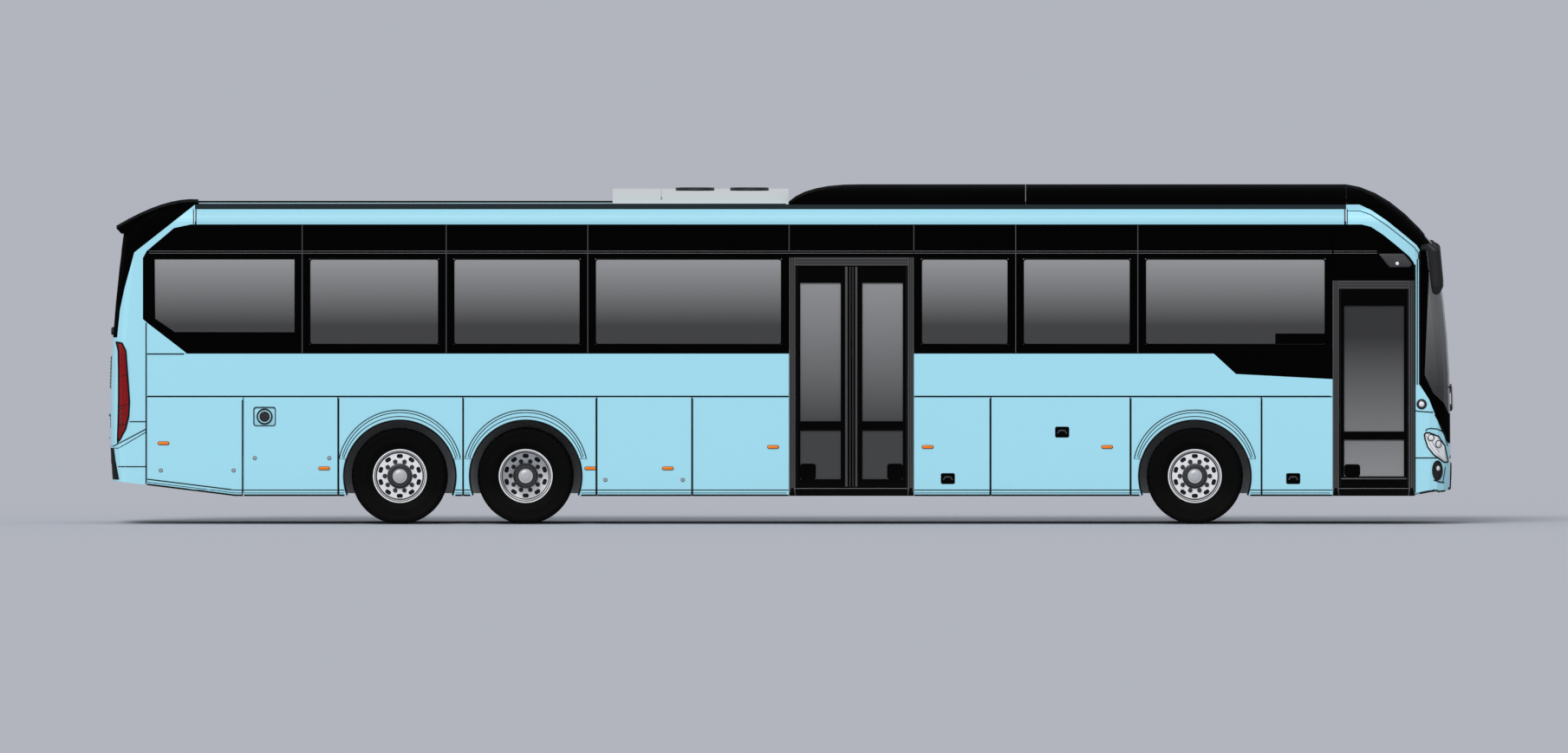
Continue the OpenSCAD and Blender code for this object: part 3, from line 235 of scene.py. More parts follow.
wire(dust, spots, 0, patchy, 1)
wire(dust, patchy, 0, strength, 0)
wire(dust, enter, "Amount", strength, 1)
blend = color_mix(dust, (strength, 0), (enter, "Color"), (enter, "Dust Color"))
wire(dust, blend, MIX_OUT, leave, "Color")
wire(dust, strength, 0, leave, "Mask")
print(dust.name, "group of", len(dust.nodes), "nodes")

# %% [markdown]
# ## Turned rings
# A rim is turned on a lathe, and the tool leaves fine circles round the axle. They could be cut into the
# mesh, but they are a fraction of a millimetre deep. So a noise is drawn over the distance from the
# axle, and later feeds a bump.

# %% Turned rings group
AXLE_Z = 0.538
rings, enter, leave = new_group(
    "Turned rings",
    [("Axle X", FLOAT, 0.0), ("Axle Z", FLOAT, AXLE_Z), ("Pitch", FLOAT, 900.0)],
    [("Rings", FLOAT), ("Radius", FLOAT)])
place, split = node_of(rings, "TexCoord"), node_of(rings, "SeparateXYZ")
side_view, axle_at = node_of(rings, "CombineXYZ"), node_of(rings, "CombineXYZ")
from_axle = node_of(rings, "VectorMath", operation="DISTANCE")
count = node_of(rings, "Math", operation="MULTIPLY")
lathe_noise = node_of(rings, "TexNoise", noise_dimensions="1D")
set_inputs(lathe_noise, {"Scale": 1.0})
wire(rings, place, "Object", split, 0)
for axis in ("X", "Z"):
    wire(rings, split, axis, side_view, axis)
    wire(rings, enter, f"Axle {axis}", axle_at, axis)
wire(rings, side_view, 0, from_axle, 0)
wire(rings, axle_at, 0, from_axle, 1)
wire(rings, from_axle, "Value", count, 0)
wire(rings, enter, "Pitch", count, 1)
wire(rings, count, 0, lathe_noise, "W")
wire(rings, lathe_noise, 0, leave, "Rings")
wire(rings, from_axle, "Value", leave, "Radius")
print(rings.name, "group of", len(rings.nodes), "nodes")

# %% [markdown]
# ## Painted sky reflection
# Tinted glass on a coach mirrors the sky: it is pale at its top and dark at its foot. A mirror-like
# shader would show this only from one side, so the reflection is painted into the glass's own colour
# as a gradient from foot to top.

# %% Painted sky reflection group
painted_sky_reflection, enter, leave = new_group(
    "Painted sky reflection",
    [("Foot", FLOAT, 2.0), ("Top", FLOAT, 3.0), ("Foot Color", COLOR, (0.06, 0.06, 0.06, 1)),
     ("Top Color", COLOR, (0.28, 0.28, 0.28, 1))],
    [("Color", COLOR)])
place, split = node_of(painted_sky_reflection, "TexCoord"), node_of(painted_sky_reflection, "SeparateXYZ")
span = node_of(painted_sky_reflection, "MapRange")
wire(painted_sky_reflection, place, "Object", split, 0)
wire(painted_sky_reflection, split, "Z", span, "Value")
wire(painted_sky_reflection, enter, "Foot", span, "From Min")
wire(painted_sky_reflection, enter, "Top", span, "From Max")
blend = color_mix(painted_sky_reflection, (span, 0), (enter, "Foot Color"), (enter, "Top Color"))
wire(painted_sky_reflection, blend, MIX_OUT, leave, "Color")
print("groups:", [g.name for g in bpy.data.node_groups])

# %% [markdown]
# ## Finishes
# One function builds every opaque finish: the mottle group gives its tone and grain, the dust group
# settles on it near the road, and the grain feeds a bump. Each finish could have its own tree, but then
# a better grain would have to be put into twenty of them. What stays the same all over, such as the
# specular level, is set on the shader itself.

# %% Placing a group in a finish


def group_in(tree, group, values):
    node = node_of(tree, "Group", node_tree=group)
    set_inputs(node, values)
    return node


print(len(bpy.data.node_groups), "groups to place")

# %% One recipe for opaque finishes
ROUGH_LOW, ROUGH_HIGH = 0.85, 1.2
BUMP_STRENGTH, BUMP_DEPTH = 0.3, 0.01


def finish_of(name, color, deep, rough, vary=0.25, metal=0.0, coat=0.0, specular=0.5, grain=(600.0, 0.02),
              cloud=1.5, dusty=0.0, dust_height=0.9):
    mat = bpy.data.materials.new(name)
    mat.use_nodes = True
    tree = mat.node_tree
    shader = tree.nodes["Principled BSDF"]
    set_inputs(shader, {"Metallic": metal, "Coat Weight": coat, "Specular IOR Level": specular})
    tone_node = group_in(tree, mottle, {"Color": (*color, 1), "Deep Color": (*deep, 1), "Vary": vary,
                                        "Cloud Scale": cloud, "Grain Scale": grain[0]})
    last = tone_node
    if dusty:
        last = group_in(tree, dust, {"Amount": dusty, "Height": dust_height})
        wire(tree, tone_node, "Color", last, "Color")
    wire(tree, last, "Color", shader, "Base Color")
    spread = node_of(tree, "MapRange")
    set_inputs(spread, {"To Min": rough * ROUGH_LOW, "To Max": min(1.0, rough * ROUGH_HIGH)})
    wire(tree, tone_node, "Cloud", spread, "Value")
    wire(tree, spread, 0, shader, "Roughness")
    bump = node_of(tree, "Bump")
    set_inputs(bump, {"Strength": BUMP_STRENGTH, "Distance": grain[1] * BUMP_DEPTH})
    wire(tree, tone_node, "Grain", bump, "Height")
    wire(tree, bump, "Normal", shader, "Normal")
    return mat


print("finish recipe ready")

# %% [markdown]
# ## Paint and black panels
# The body is sprayed in a light blue under clear lacquer, a coat over a coloured base. The panels
# between the windows are black glass, so they are glossy, while the fairing on the roof and the masks at
# both ends are matt mouldings. A flat colour would look like paper, so each has its own gloss and grain.

# %% Paint and black panels
lacquer = dict(coat=0.25, specular=0.35, grain=(900, 0.01), cloud=0.6)
coach_blue = finish_of("coach_blue_paint", (0.378, 0.755, 0.885), (0.345, 0.71, 0.85), 0.32,
                       dusty=0.08, dust_height=0.75, **lacquer)
# The cove gets the body's blue made darker: painted shade where the cove curves in towards the roof.
cove_painted_shade_blue = finish_of("cove_blue_painted_shade", (0.318, 0.645, 0.765), (0.29, 0.60, 0.73), 0.36, **lacquer)
band_black = finish_of("band_black_gloss", (0.0005, 0.0005, 0.0006), (0.0003, 0.0003, 0.0003), 0.22,
                       specular=0.025, grain=(1200, 0.004), cloud=0.8)
fairing_black = finish_of("fairing_black_matt", (0.0008, 0.0008, 0.0009), (0.0004, 0.0004, 0.0004), 0.9,
                          specular=0.02, grain=(900, 0.01), cloud=0.8)
portal_grey = finish_of("portal_grey_satin", (0.060, 0.060, 0.061), (0.048, 0.048, 0.049), 0.4,
                        specular=0.15, dusty=0.12, dust_height=0.8)
leaf_black = finish_of("door_leaf_black", (0.0009, 0.0009, 0.001), (0.0005, 0.0005, 0.0005), 0.35,
                       specular=0.03, grain=(900, 0.01), dusty=0.02, dust_height=0.6)
gutter_dark = finish_of("gutter_dark", (0.010, 0.020, 0.024), (0.006, 0.012, 0.015), 0.5, specular=0.2)
roof_white = finish_of("roof_unit_white", (0.66, 0.665, 0.67), (0.56, 0.57, 0.58), 0.4, grain=(500, 0.03))
print("paints:", len(bpy.data.materials))

# %% [markdown]
# ## Rubber, plastic and enamel
# These are dark and dull, and differ in their grain: rubber is soft and coarse, moulded plastic has a
# fine leather-like grain, and chassis enamel is dusty. The wheelhouse liner alone is pale, far paler than a real
# felt liner: painted light that lifts the shade inside the arches. The same recipe takes all of them.

# %% Rubber, plastic and enamel
rubber_black = finish_of("seal_rubber", (0.006, 0.006, 0.006), (0.003, 0.003, 0.003), 0.7,
                         specular=0.15, grain=(400, 0.05))
plastic_black = finish_of("black_moulded_plastic", (0.012, 0.012, 0.013), (0.006, 0.006, 0.006), 0.5,
                          specular=0.25, grain=(700, 0.06))
tyre_rubber = finish_of("tyre_rubber", (0.0022, 0.0022, 0.0022), (0.001, 0.001, 0.001), 0.8,
                        specular=0.06, grain=(260, 0.12), dusty=0.015, dust_height=0.5)
chassis_dark = finish_of("chassis_enamel", (0.02, 0.02, 0.022), (0.01, 0.01, 0.01), 0.55,
                         grain=(300, 0.08), dusty=0.5, dust_height=1.2)
battery_case = finish_of("battery_case_enamel", (0.25, 0.26, 0.28), (0.19, 0.20, 0.22), 0.5, grain=(300, 0.06))
# The liner's pale grey is painted light: real liners are dark, and this lifts the shade inside the arches.
house_grey_painted_light = finish_of("wheelhouse_liner_painted_light", (0.62, 0.62, 0.62), (0.46, 0.46, 0.46), 0.9,
                       vary=0.6, specular=0.1, grain=(180, 0.3), cloud=8.0)
print("finishes so far:", len(bpy.data.materials))

# %% [markdown]
# ## Metals, floor and cloth
# Sheet metal, anodised trim and hubs are partly metallic, with clouds a few centimetres wide where hands
# and weather have dulled them. Floor covering and seat cloth have a tight pattern, so their clouds are small.

# %% Metals, floor and cloth
bay_sheet = finish_of("bay_sheet_metal", (0.42, 0.43, 0.45), (0.30, 0.31, 0.33), 0.45,
                      metal=0.8, grain=(350, 0.05), cloud=6.0)
trim_grey = finish_of("trim_grey_anodised", (0.10, 0.10, 0.105), (0.07, 0.07, 0.075), 0.35,
                      metal=0.6, grain=(900, 0.02))
hub_dark = finish_of("hub_dark_steel", (0.035, 0.035, 0.037), (0.015, 0.015, 0.016), 0.5,
                     metal=0.4, grain=(500, 0.05), cloud=20.0)
cap_grey = finish_of("hub_cap_grey", (0.52, 0.53, 0.54), (0.42, 0.43, 0.44), 0.35,
                     metal=0.3, grain=(600, 0.03), cloud=12.0)
floor_cover = finish_of("floor_covering", (0.06, 0.06, 0.066), (0.03, 0.03, 0.034), 0.75,
                        vary=0.6, grain=(220, 0.1), cloud=30.0)
seat_cloth = finish_of("seat_cloth", (0.05, 0.06, 0.09), (0.02, 0.024, 0.036), 0.95,
                       vary=0.9, specular=0.1, grain=(900, 0.4), cloud=160.0)
ROAD_DEEP = 0.985
road_grey = finish_of("road_grey", BACKDROP[:3], tuple(c * ROAD_DEEP for c in BACKDROP[:3]), 0.95,
                      specular=0.0, grain=(3, 0.0), cloud=0.2)
road_mesh.materials.append(road_grey)
print("opaque finishes:", len(bpy.data.materials))

# %% [markdown]
# ## Wheels' metal
# The rims are turned and polished. The rings group draws the lathe's circles round each axle, so there
# is one finish per axle. One finish for all could read the wheel's own centre, but the solids all
# share one origin on the road.

# %% Rim metal per axle
AXLES = {"front": 4.625, "drive": -2.845, "tag": -4.250}
LATHE_DEPTH = 0.0006


def rim_metal(axle_name):
    mat = finish_of(f"rim_metal_{axle_name}", (0.92, 0.925, 0.93), (0.78, 0.785, 0.79), 0.36, metal=0.35,
                    grain=(500, 0.02), cloud=14.0, dusty=0.10, dust_height=0.8)
    tree = mat.node_tree
    ring_node = group_in(tree, rings, {"Axle X": AXLES[axle_name], "Axle Z": AXLE_Z})
    bump = next(n for n in tree.nodes if n.type == "BUMP")
    tree.links.remove(bump.inputs["Height"].links[0])
    wire(tree, ring_node, "Rings", bump, "Height")
    set_inputs(bump, {"Distance": LATHE_DEPTH})
    return mat


rim_finish = {name: rim_metal(name) for name in AXLES}
print("rim finishes:", sorted(rim_finish))

# %% [markdown]
# ## Glass
# The windows are deeply tinted: from outside they read as grey, and seats show faintly behind them. True
# refraction would cost render time for a pane a few millimetres thick, so a pane is a smooth tinted
# surface that lets a tenth of the light through.

# %% Tinted panes with a painted reflection
PANE_ROUGH, PANE_SPECULAR, PANE_ALPHA, PANE_BLUE = 0.08, 0.3, 0.9, 1.02


def pane_glass(name, foot, top, foot_tone, top_tone):
    mat = bpy.data.materials.new(name)
    mat.use_nodes = True
    tree = mat.node_tree
    shader = tree.nodes["Principled BSDF"]
    set_inputs(shader, {"Roughness": PANE_ROUGH, "Alpha": PANE_ALPHA, "Specular IOR Level": PANE_SPECULAR})
    tone_node = group_in(tree, painted_sky_reflection, {
        "Foot": foot, "Top": top, "Foot Color": (foot_tone, foot_tone, foot_tone * PANE_BLUE, 1),
        "Top Color": (top_tone, top_tone, top_tone * PANE_BLUE, 1)})
    wire(tree, tone_node, "Color", shader, "Base Color")
    return mat


# Each pane's colour runs from its foot to its top: a painted reflection, pale where the sky would show. On the front
# door's panes it runs the other way, pale at the foot.
side_pane = pane_glass("side_pane_tint_painted_reflection", 2.22, 2.95, 0.055, 0.335)
mid_door_pane = pane_glass("mid_door_pane_tint_painted_reflection", 1.1, 2.7, 0.058, 0.31)
front_door_pane = pane_glass("front_door_pane_tint_painted_reflection", 0.5, 2.1, 0.29, 0.035)
screen_pane = pane_glass("screen_tint_painted_reflection", 1.5, 2.7, 0.038, 0.20)
sign_pane = pane_glass("sign_tint_painted_reflection", 3.0, 3.3, 0.010, 0.014)
print("panes let", round(1 - PANE_ALPHA, 2), "of the light through")

# %% [markdown]
# ## Lenses
# Lenses are glassy plastic, clear in front, red at the tail and amber along the sides. They are moulded
# with fine flutes, which a coarse grain stands for. The coloured ones get a little painted glow: the lamps are off,
# and the glow stands in for daylight caught inside them.

# %% Lenses and reflectors


def lens(name, color, deep, painted_glow=0.0):
    mat = finish_of(name, color, deep, 0.12, vary=0.5, specular=0.35, grain=(140, 0.2), cloud=26.0)
    set_inputs(mat.node_tree.nodes["Principled BSDF"], {"Emission Color": (*color, 1), "Emission Strength": painted_glow})
    return mat


clear_lens = lens("lamp_clear_lens", (0.86, 0.88, 0.90), (0.62, 0.65, 0.70))
# The red and amber lenses emit a little: painted light, since these lamps are not lit.
red_lens = lens("lamp_red_lens", (0.27, 0.002, 0.004), (0.12, 0.001, 0.002), 0.02)
amber_lens = lens("marker_amber_lens", (0.95, 0.24, 0.015), (0.70, 0.12, 0.005), 0.08)
chrome = finish_of("reflector_chrome", (0.85, 0.86, 0.87), (0.7, 0.71, 0.72), 0.12, metal=1.0, grain=(300, 0.01))
print("finishes in all:", len(bpy.data.materials))

# %% [markdown]
# ## Finishes on the solids
# Each solid keeps its shape and only gets its finish. Finishes could be set one by one, but a table from
# finish to solids reads like a paint list, and shows at the end whether a solid was left out.

# %% Paint list
node_finish = {
    # the cove panels take the darker blue, which is painted shade
    cove_painted_shade_blue: "cove_panels",
    coach_blue: """roof_panel waist_panels skirt_panels front_corners front_panel front_bumper
        rear_quarters rear_bumper door_flap_tail door_flap_charge door_flap_rear_bay door_flap_front_bay
        left_flap_rear_bay rear_hatch""",
    band_black: "side_headers window_bands",
    fairing_black: "front_mask rear_mask roof_fairing",
    portal_grey: "door_portals",
    leaf_black: "front_door mid_door_rear mid_door_front",
    gutter_dark: "roof_gutters",
    chassis_dark: """chassis_frame front_axle drive_axle tag_axle knuckle_left knuckle_right
        front_door_arms mid_door_rear_arms mid_door_front_arms""",
    side_pane: "side_glass rear_window",
    screen_pane: "windscreen",
    clear_lens: "front_lamps",
    red_lens: "tail_lamps",
    roof_white: "roof_unit",
    plastic_black: "mirrors dashboard",
    # the liner's pale grey is painted light in the shaded arches
    house_grey_painted_light: "wheelhouses",
    floor_cover: "cabin_floor door_steps",
    bay_sheet: "bulkheads",
    battery_case: "traction_batteries",
    seat_cloth: "seats",
    tyre_rubber: """front_tyre_left front_tyre_right drive_tyres_left drive_tyres_right tag_tyre_left
        tag_tyre_right""",
    rim_finish["front"]: "front_rim_left front_rim_right",
    rim_finish["drive"]: "drive_rims_left drive_rims_right",
    rim_finish["tag"]: "tag_rim_left tag_rim_right",
}
listed = {name for names in node_finish.values() for name in names.split()}
print("solids without a finish:", sorted(set(nodes) - listed))

# %% Give the solids their finishes
SMOOTH_ANGLE = math.radians(32)
for mat, names in node_finish.items():
    for name in names.split():
        mesh = nodes[name].data
        mesh.materials.clear()
        mesh.materials.append(mat)
        mesh.polygons.foreach_set("material_index", [0] * len(mesh.polygons))
        mesh.polygons.foreach_set("use_smooth", [True] * len(mesh.polygons))
        mesh.set_sharp_from_angle(angle=SMOOTH_ANGLE)
print(len(listed), "solids finished")

# %% [markdown]
# ## Glass in the door leaves
# A door leaf is an aluminium frame with two panes, all in one solid. The panes could be laid over it as
# new sheets, but their faces are there already: what lies in the middle of the leaf's thickness is glass.

# %% Glass in the door leaves
LEAF_T = 0.045
PANE_HALF = 0.0075
pane_middle = -HALF_W + LEAF_T / 2
for name in ("front_door", "mid_door_rear", "mid_door_front"):
    mesh = nodes[name].data
    mesh.materials.append(front_door_pane if name == "front_door" else mid_door_pane)
    glass_verts = {v.index for v in mesh.vertices if abs(v.co.y - pane_middle) < PANE_HALF}
    for face in mesh.polygons:
        if all(i in glass_verts for i in face.vertices):
            face.material_index = 1
    print(name, "has", sum(face.material_index for face in mesh.polygons), "faces of glass")

# %% [markdown]
# ## Shapes from rings
# Most trim on a vehicle is a plate with rounded edges, a turned part or a bent rod. Each could be a
# primitive with modifiers, but all three are skins drawn through rings of points. So one small class
# gathers rings into closed skins, and a piece may hold several skins with a finish each.

# %% A gatherer of skins


class Skins:
    def __init__(self):
        self.verts, self.faces, self.finish = [], [], []

    def loft(self, loops, finish=0, ends=True, around=False):
        start, n = len(self.verts), len(loops[0])
        for loop in loops:
            self.verts.extend(loop)
        rows = len(loops)
        for row in range(rows if around else rows - 1):
            a, b = start + row * n, start + (row + 1) % rows * n
            for i in range(n):
                j = (i + 1) % n
                self.faces.append((a + i, a + j, b + j, b + i))
                self.finish.append(finish)
        if ends and not around:
            self.faces.append(tuple(range(start + n - 1, start - 1, -1)))
            self.faces.append(tuple(range(len(self.verts) - n, len(self.verts))))
            self.finish.extend((finish, finish))


print("skins ready")

# %% From skins to a piece that rides on a body


def piece(name, skins, finishes, body, angle=35):
    mesh = bpy.data.meshes.new(name)
    mesh.from_pydata(skins.verts, [], skins.faces)
    for mat in finishes:
        mesh.materials.append(mat)
    mesh.polygons.foreach_set("material_index", skins.finish)
    work = bmesh.new()
    work.from_mesh(mesh)
    bmesh.ops.recalc_face_normals(work, faces=work.faces)
    work.to_mesh(mesh)
    work.free()
    mesh.polygons.foreach_set("use_smooth", [True] * len(mesh.polygons))
    mesh.set_sharp_from_angle(angle=math.radians(angle))
    obj = bpy.data.objects.new(name, mesh)
    bpy.context.scene.collection.objects.link(obj)
    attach(obj, body)
    return obj


SIDES = {"right": -1, "left": 1}

# %% [markdown]
# ## Outlines
# A plate starts as a flat outline. Its rounded edge is the same outline drawn in a little further on each
# layer. A bevel modifier would round it as well, but with rings the width of every edge is known.

# %% Outlines


def circle(n):
    return [(math.cos(2 * math.pi * k / n), math.sin(2 * math.pi * k / n)) for k in range(n)]


def oval(w, h, n=32):
    return [(w / 2 * c, h / 2 * s) for c, s in circle(n)]


def rounded_rect(w, h, r, n=5):
    corners = ((w / 2 - r, h / 2 - r, 0), (r - w / 2, h / 2 - r, 90), (r - w / 2, r - h / 2, 180),
               (w / 2 - r, r - h / 2, 270))
    turns = [(cx, cy, math.radians(a + 90 * k / n)) for cx, cy, a in corners for k in range(n + 1)]
    return [(cx + r * math.cos(t), cy + r * math.sin(t)) for cx, cy, t in turns]


def inset(outline, d):
    out = []
    for i, p in enumerate(outline):
        a, b = outline[i - 1], outline[(i + 1) % len(outline)]
        t = Vector((b[0] - a[0], b[1] - a[1])).normalized()
        out.append((p[0] - t.y * d, p[1] + t.x * d))
    return out


print("a rounded outline has", len(rounded_rect(1, 1, 0.1)), "points")

# %% [markdown]
# ## Plates, turned parts and rods
# These three helpers draw most of the coach's trim. A plate stacks an outline in layers, a turned part
# spins a profile about an axle, and a rod carries a circle along a path. Curves with a bevel could draw
# the rods, but as meshes all parts of a piece can be one object.

# %% Plates and turned parts


def wall_plate(skins, outline, at, layers, finish=0, side=-1, wall=HALF_W, open_middle=False):
    """Rings of a side-view outline; each layer is (inset, distance out from the wall)."""
    skins.loft([[(at[0] + u, side * (wall + out), at[1] + v) for u, v in inset(outline, d)]
                for d, out in layers], finish, around=open_middle)


def turned(skins, profile, at, finish=0, side=-1, n=40, open_middle=False):
    """Profile of (radius, distance out) about an axle along Y."""
    skins.loft([[(at[0] + r * c, at[1] + side * out, at[2] + r * s) for c, s in circle(n)]
                for r, out in profile], finish, around=open_middle)


print("plates and turned parts ready")

# %% Rods
STEEP_PATH = 0.9


def rod(skins, path, radius, finish=0, n=10):
    path = [Vector(p) for p in path]
    loops = []
    for i, p in enumerate(path):
        along = (path[min(i + 1, len(path) - 1)] - path[max(i - 1, 0)]).normalized()
        aside = Vector((0, 1, 0)) if abs(along.y) < STEEP_PATH else Vector((1, 0, 0))
        u = along.cross(aside).normalized()
        v = along.cross(u)
        loops.append([tuple(p + (u * c + v * s) * radius) for c, s in circle(n)])
    skins.loft(loops, finish)


print("rods ready")

# %% [markdown]
# ## Tyres
# A coach tyre has straight grooves round its tread, and shoulders cut into lugs. Its cross-section is
# carried round the axle, and at every slot between two lugs the shoulder points drop a centimetre.
# A texture would be lighter, but the shoulder shows in outline, so the tread is real.

# %% Cross-section of a tyre
GROOVES = (0.072, 0.024)
side_wall = [(0.288, 0.108), (0.302, 0.122), (0.330, 0.139), (0.372, 0.147), (0.376, 0.1492), (0.384, 0.1498),
             (0.388, 0.149), (0.440, 0.1525), (0.478, 0.150), (0.483, 0.151), (0.489, 0.149), (0.512, 0.138)]


def tyre_section(slot_cut):
    """Half a section as (radius, distance from the middle), then its mirror image."""
    shoulder = [(0.527 - slot_cut, 0.126), (0.535 - slot_cut, 0.112), (0.536 - slot_cut, 0.098)]
    tread = []
    for g in GROOVES:
        tread += [(0.5373, g + 0.007), (0.525, g + 0.005), (0.525, g - 0.005), (0.5375, g - 0.007)]
    half = side_wall + shoulder + tread
    return half + [(r, -a) for r, a in reversed(half)]


print("section of", len(tyre_section(0)), "points")

# %% Treaded tyres
LUGS, SLOT_DEPTH = 48, 0.011
WHEEL_Y, TWIN = 1.094, 0.351
lug_steps = ((0.0, SLOT_DEPTH), (0.24, SLOT_DEPTH), (0.30, 0.0), (0.94, 0.0))
wheels = [("front", "front_tyre", "front_wheel"), ("drive", "drive_tyres", "drive_wheels"),
          ("tag", "tag_tyre", "tag_wheel")]


def tyre(skins, at, side):
    loops = []
    for lug in range(LUGS):
        for share, slot_cut in lug_steps:
            turn = 2 * math.pi * (lug + share) / LUGS
            loops.append([(at[0] + r * math.cos(turn), at[1] + side * a, at[2] + r * math.sin(turn))
                          for r, a in tyre_section(slot_cut)])
    skins.loft(loops, around=True)


for axle_name, node, body in wheels:
    for side_name, side in SIDES.items():
        skins = Skins()
        for y in ((WHEEL_Y, WHEEL_Y - TWIN) if axle_name == "drive" else (WHEEL_Y,)):
            tyre(skins, (AXLES[axle_name], side * y, AXLE_Z), side)
        obj = piece(f"{axle_name}_tyre_tread_{side_name}", skins, [tyre_rubber], f"{body}_{side_name}",
                    28)
        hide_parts(f"{node}_{side_name}")
print("tyres:", len(obj.data.polygons), "faces in the last")

# %% [markdown]
# ## Hubs
# The rims are bright, their nuts and hub dark, with a grey cap in the middle. The solid rims have all of
# these shapes. New shells over them would fight with the solid, so the rims' own faces are sorted by
# their distance from the axle.

# %% Sort the rims' faces
HUB_R, NUT_REACH, CAP_R = 0.1402, (0.1415, 0.189), 0.081
DARK_FACE, CAP_FACE = 1, 2


def rim_face(mesh, face, axle_x, side, nut_foot):
    reach = max(math.hypot(mesh.vertices[i].co.x - axle_x, mesh.vertices[i].co.z - AXLE_Z)
                for i in face.vertices)
    middle = math.hypot(face.center.x - axle_x, face.center.z - AXLE_Z)
    on_nut = NUT_REACH[0] < middle < NUT_REACH[1] and side * face.center.y - WHEEL_Y > nut_foot
    if reach < CAP_R:
        return CAP_FACE
    return DARK_FACE if reach < HUB_R or on_nut else 0


for axle_name, node in (("front", "front_rim"), ("drive", "drive_rims"), ("tag", "tag_rim")):
    nut_foot = -0.105 if axle_name == "drive" else 0.1205
    for side_name, side in SIDES.items():
        mesh = nodes[f"{node}_{side_name}"].data
        mesh.materials.append(hub_dark)
        mesh.materials.append(cap_grey)
        for face in mesh.polygons:
            face.material_index = rim_face(mesh, face, AXLES[axle_name], side, nut_foot)
print("rims sorted,", sum(f.material_index == CAP_FACE for f in mesh.polygons), "cap faces on the last")

# %% [markdown]
# ## Hub ribs and brake drums
# A hub is cast with cooling ribs round its nose, and behind the rim's hand holes the brake drum shows as
# dark metal. An array modifier could repeat a rib, but a loop is shorter, since each rib is one small loft.

# %% Hub ribs and brake drums
RIBS = 20
rib_steps = ((0.089, 0.004), (0.103, 0.005), (0.117, 0.006))
RIB_H = 0.007
for axle_name, _, body in wheels:
    nose = 0.092 if axle_name == "drive" else 0.150
    drum = (-0.20, -0.130) if axle_name == "drive" else (0.015, 0.085)
    for side_name, side in SIDES.items():
        at = (AXLES[axle_name], side * WHEEL_Y, AXLE_Z)
        skins = Skins()
        for c, s in circle(RIBS):
            skins.loft([[(at[0] + r * c - u * s, at[1] + side * (nose + out), at[2] + r * s + u * c)
                         for u, out in ((-w, 0.0), (-w * 0.6, RIB_H), (w * 0.6, RIB_H), (w, 0.0))]
                        for r, w in rib_steps], 0)
        turned(skins, [(0.060, nose + 0.0125), (0.060, nose + 0.016), (0.054, nose + 0.019),
                       (0.020, nose + 0.020)], at, 1, side)
        turned(skins, [(0.150, drum[0]), (0.262, drum[0]), (0.266, drum[0] + 0.01), (0.266, drum[1] - 0.012),
                       (0.255, drum[1]), (0.205, drum[1])], at, 2, side, 48)
        piece(f"{axle_name}_hub_dressing_{side_name}", skins, [trim_grey, cap_grey, plastic_black],
              f"{body}_{side_name}")
print(len(wheels) * len(SIDES), "hubs dressed")

# %% [markdown]
# ## Painted shade rings and washers on the rims
# Between the bright disc and the flange lies a groove, and under each nut a steel washer. The groove's shade is
# painted: two dark rings lie where it falls. They could be dark faces of the rim, but the disc has no edges there
# to sort by. So they are thin turned rings that stand on the disc, open in the middle so the disc shows through.

# %% Painted shade rings and washers on the rims
STUDS, STUD_R, WASHER_R, WASHER_HOLE, FLANGE_OUT = 10, 0.167, 0.0255, 0.0205, 0.1335
for axle_name, _, body in wheels:
    face = -0.1075 if axle_name == "drive" else 0.1215
    for side_name, side in SIDES.items():
        at = (AXLES[axle_name], side * WHEEL_Y, AXLE_Z)
        skins = Skins()
        # These two dark rings are painted shade: dark metal laid where the groove's shade falls.
        for r, thick, out in ((0.2805, 0.0045, FLANGE_OUT), (0.2620, 0.0080, face)):
            turned(skins, [(r + thick, out - 0.001), (r + thick * 0.6, out + 0.002), (r - thick * 0.6, out + 0.002),
                           (r - thick, out - 0.001)], at, 0, side, 64, True)
        for c, s in circle(STUDS):
            stud = (at[0] + STUD_R * c, at[1], at[2] + STUD_R * s)
            turned(skins, [(WASHER_R, face - 0.001), (WASHER_R, face + 0.003), (WASHER_R - 0.003, face + 0.005),
                           (WASHER_HOLE, face + 0.005), (WASHER_HOLE, face - 0.001)], stud, 0, side, 20, True)
        piece(f"{axle_name}_rim_rings_{side_name}", skins, [hub_dark], f"{body}_{side_name}")
print(STUDS, "washers on each rim")

# %% [markdown]
# ## Side markers
# Amber markers stand in a row along the skirt, so that the coach's length can be seen at night. Each is a
# small moulding: a dark base with rounded edges and a lens on it. They could be painted on, but from
# close by their thickness shows. A marker on a flap rides on the flap, and swings up with it.

# %% Side markers
MARKERS = [(-6.888, 0.905, "tail_flap"), (-5.095, 0.624, "charge_flap"), (-2.124, 0.624, "coach"),
           (-1.258, 0.624, "rear_bay_flap"), (-0.083, 0.863, "coach"), (1.643, 0.863, "coach"),
           (3.646, 0.863, "front_bay_flap")]
base_layers = [(0, -0.002), (0, 0.003), (0.002, 0.005)]
lens_layers = [(0, 0.004), (0.001, 0.009), (0.004, 0.012), (0.009, 0.013)]
for number, (x, z, right_body) in enumerate(MARKERS, 1):
    left_body = "left_bay_flap" if right_body == "rear_bay_flap" else "coach"
    for side_name, side, body in (("right", -1, right_body), ("left", 1, left_body)):
        skins = Skins()
        wall_plate(skins, rounded_rect(0.132, 0.042, 0.020), (x, z), base_layers, 0, side)
        wall_plate(skins, rounded_rect(0.122, 0.033, 0.016), (x, z), lens_layers, 1, side)
        piece(f"side_marker_{number}_{side_name}", skins, [rubber_black, amber_lens], body)
print(len(MARKERS) * 2, "side markers")

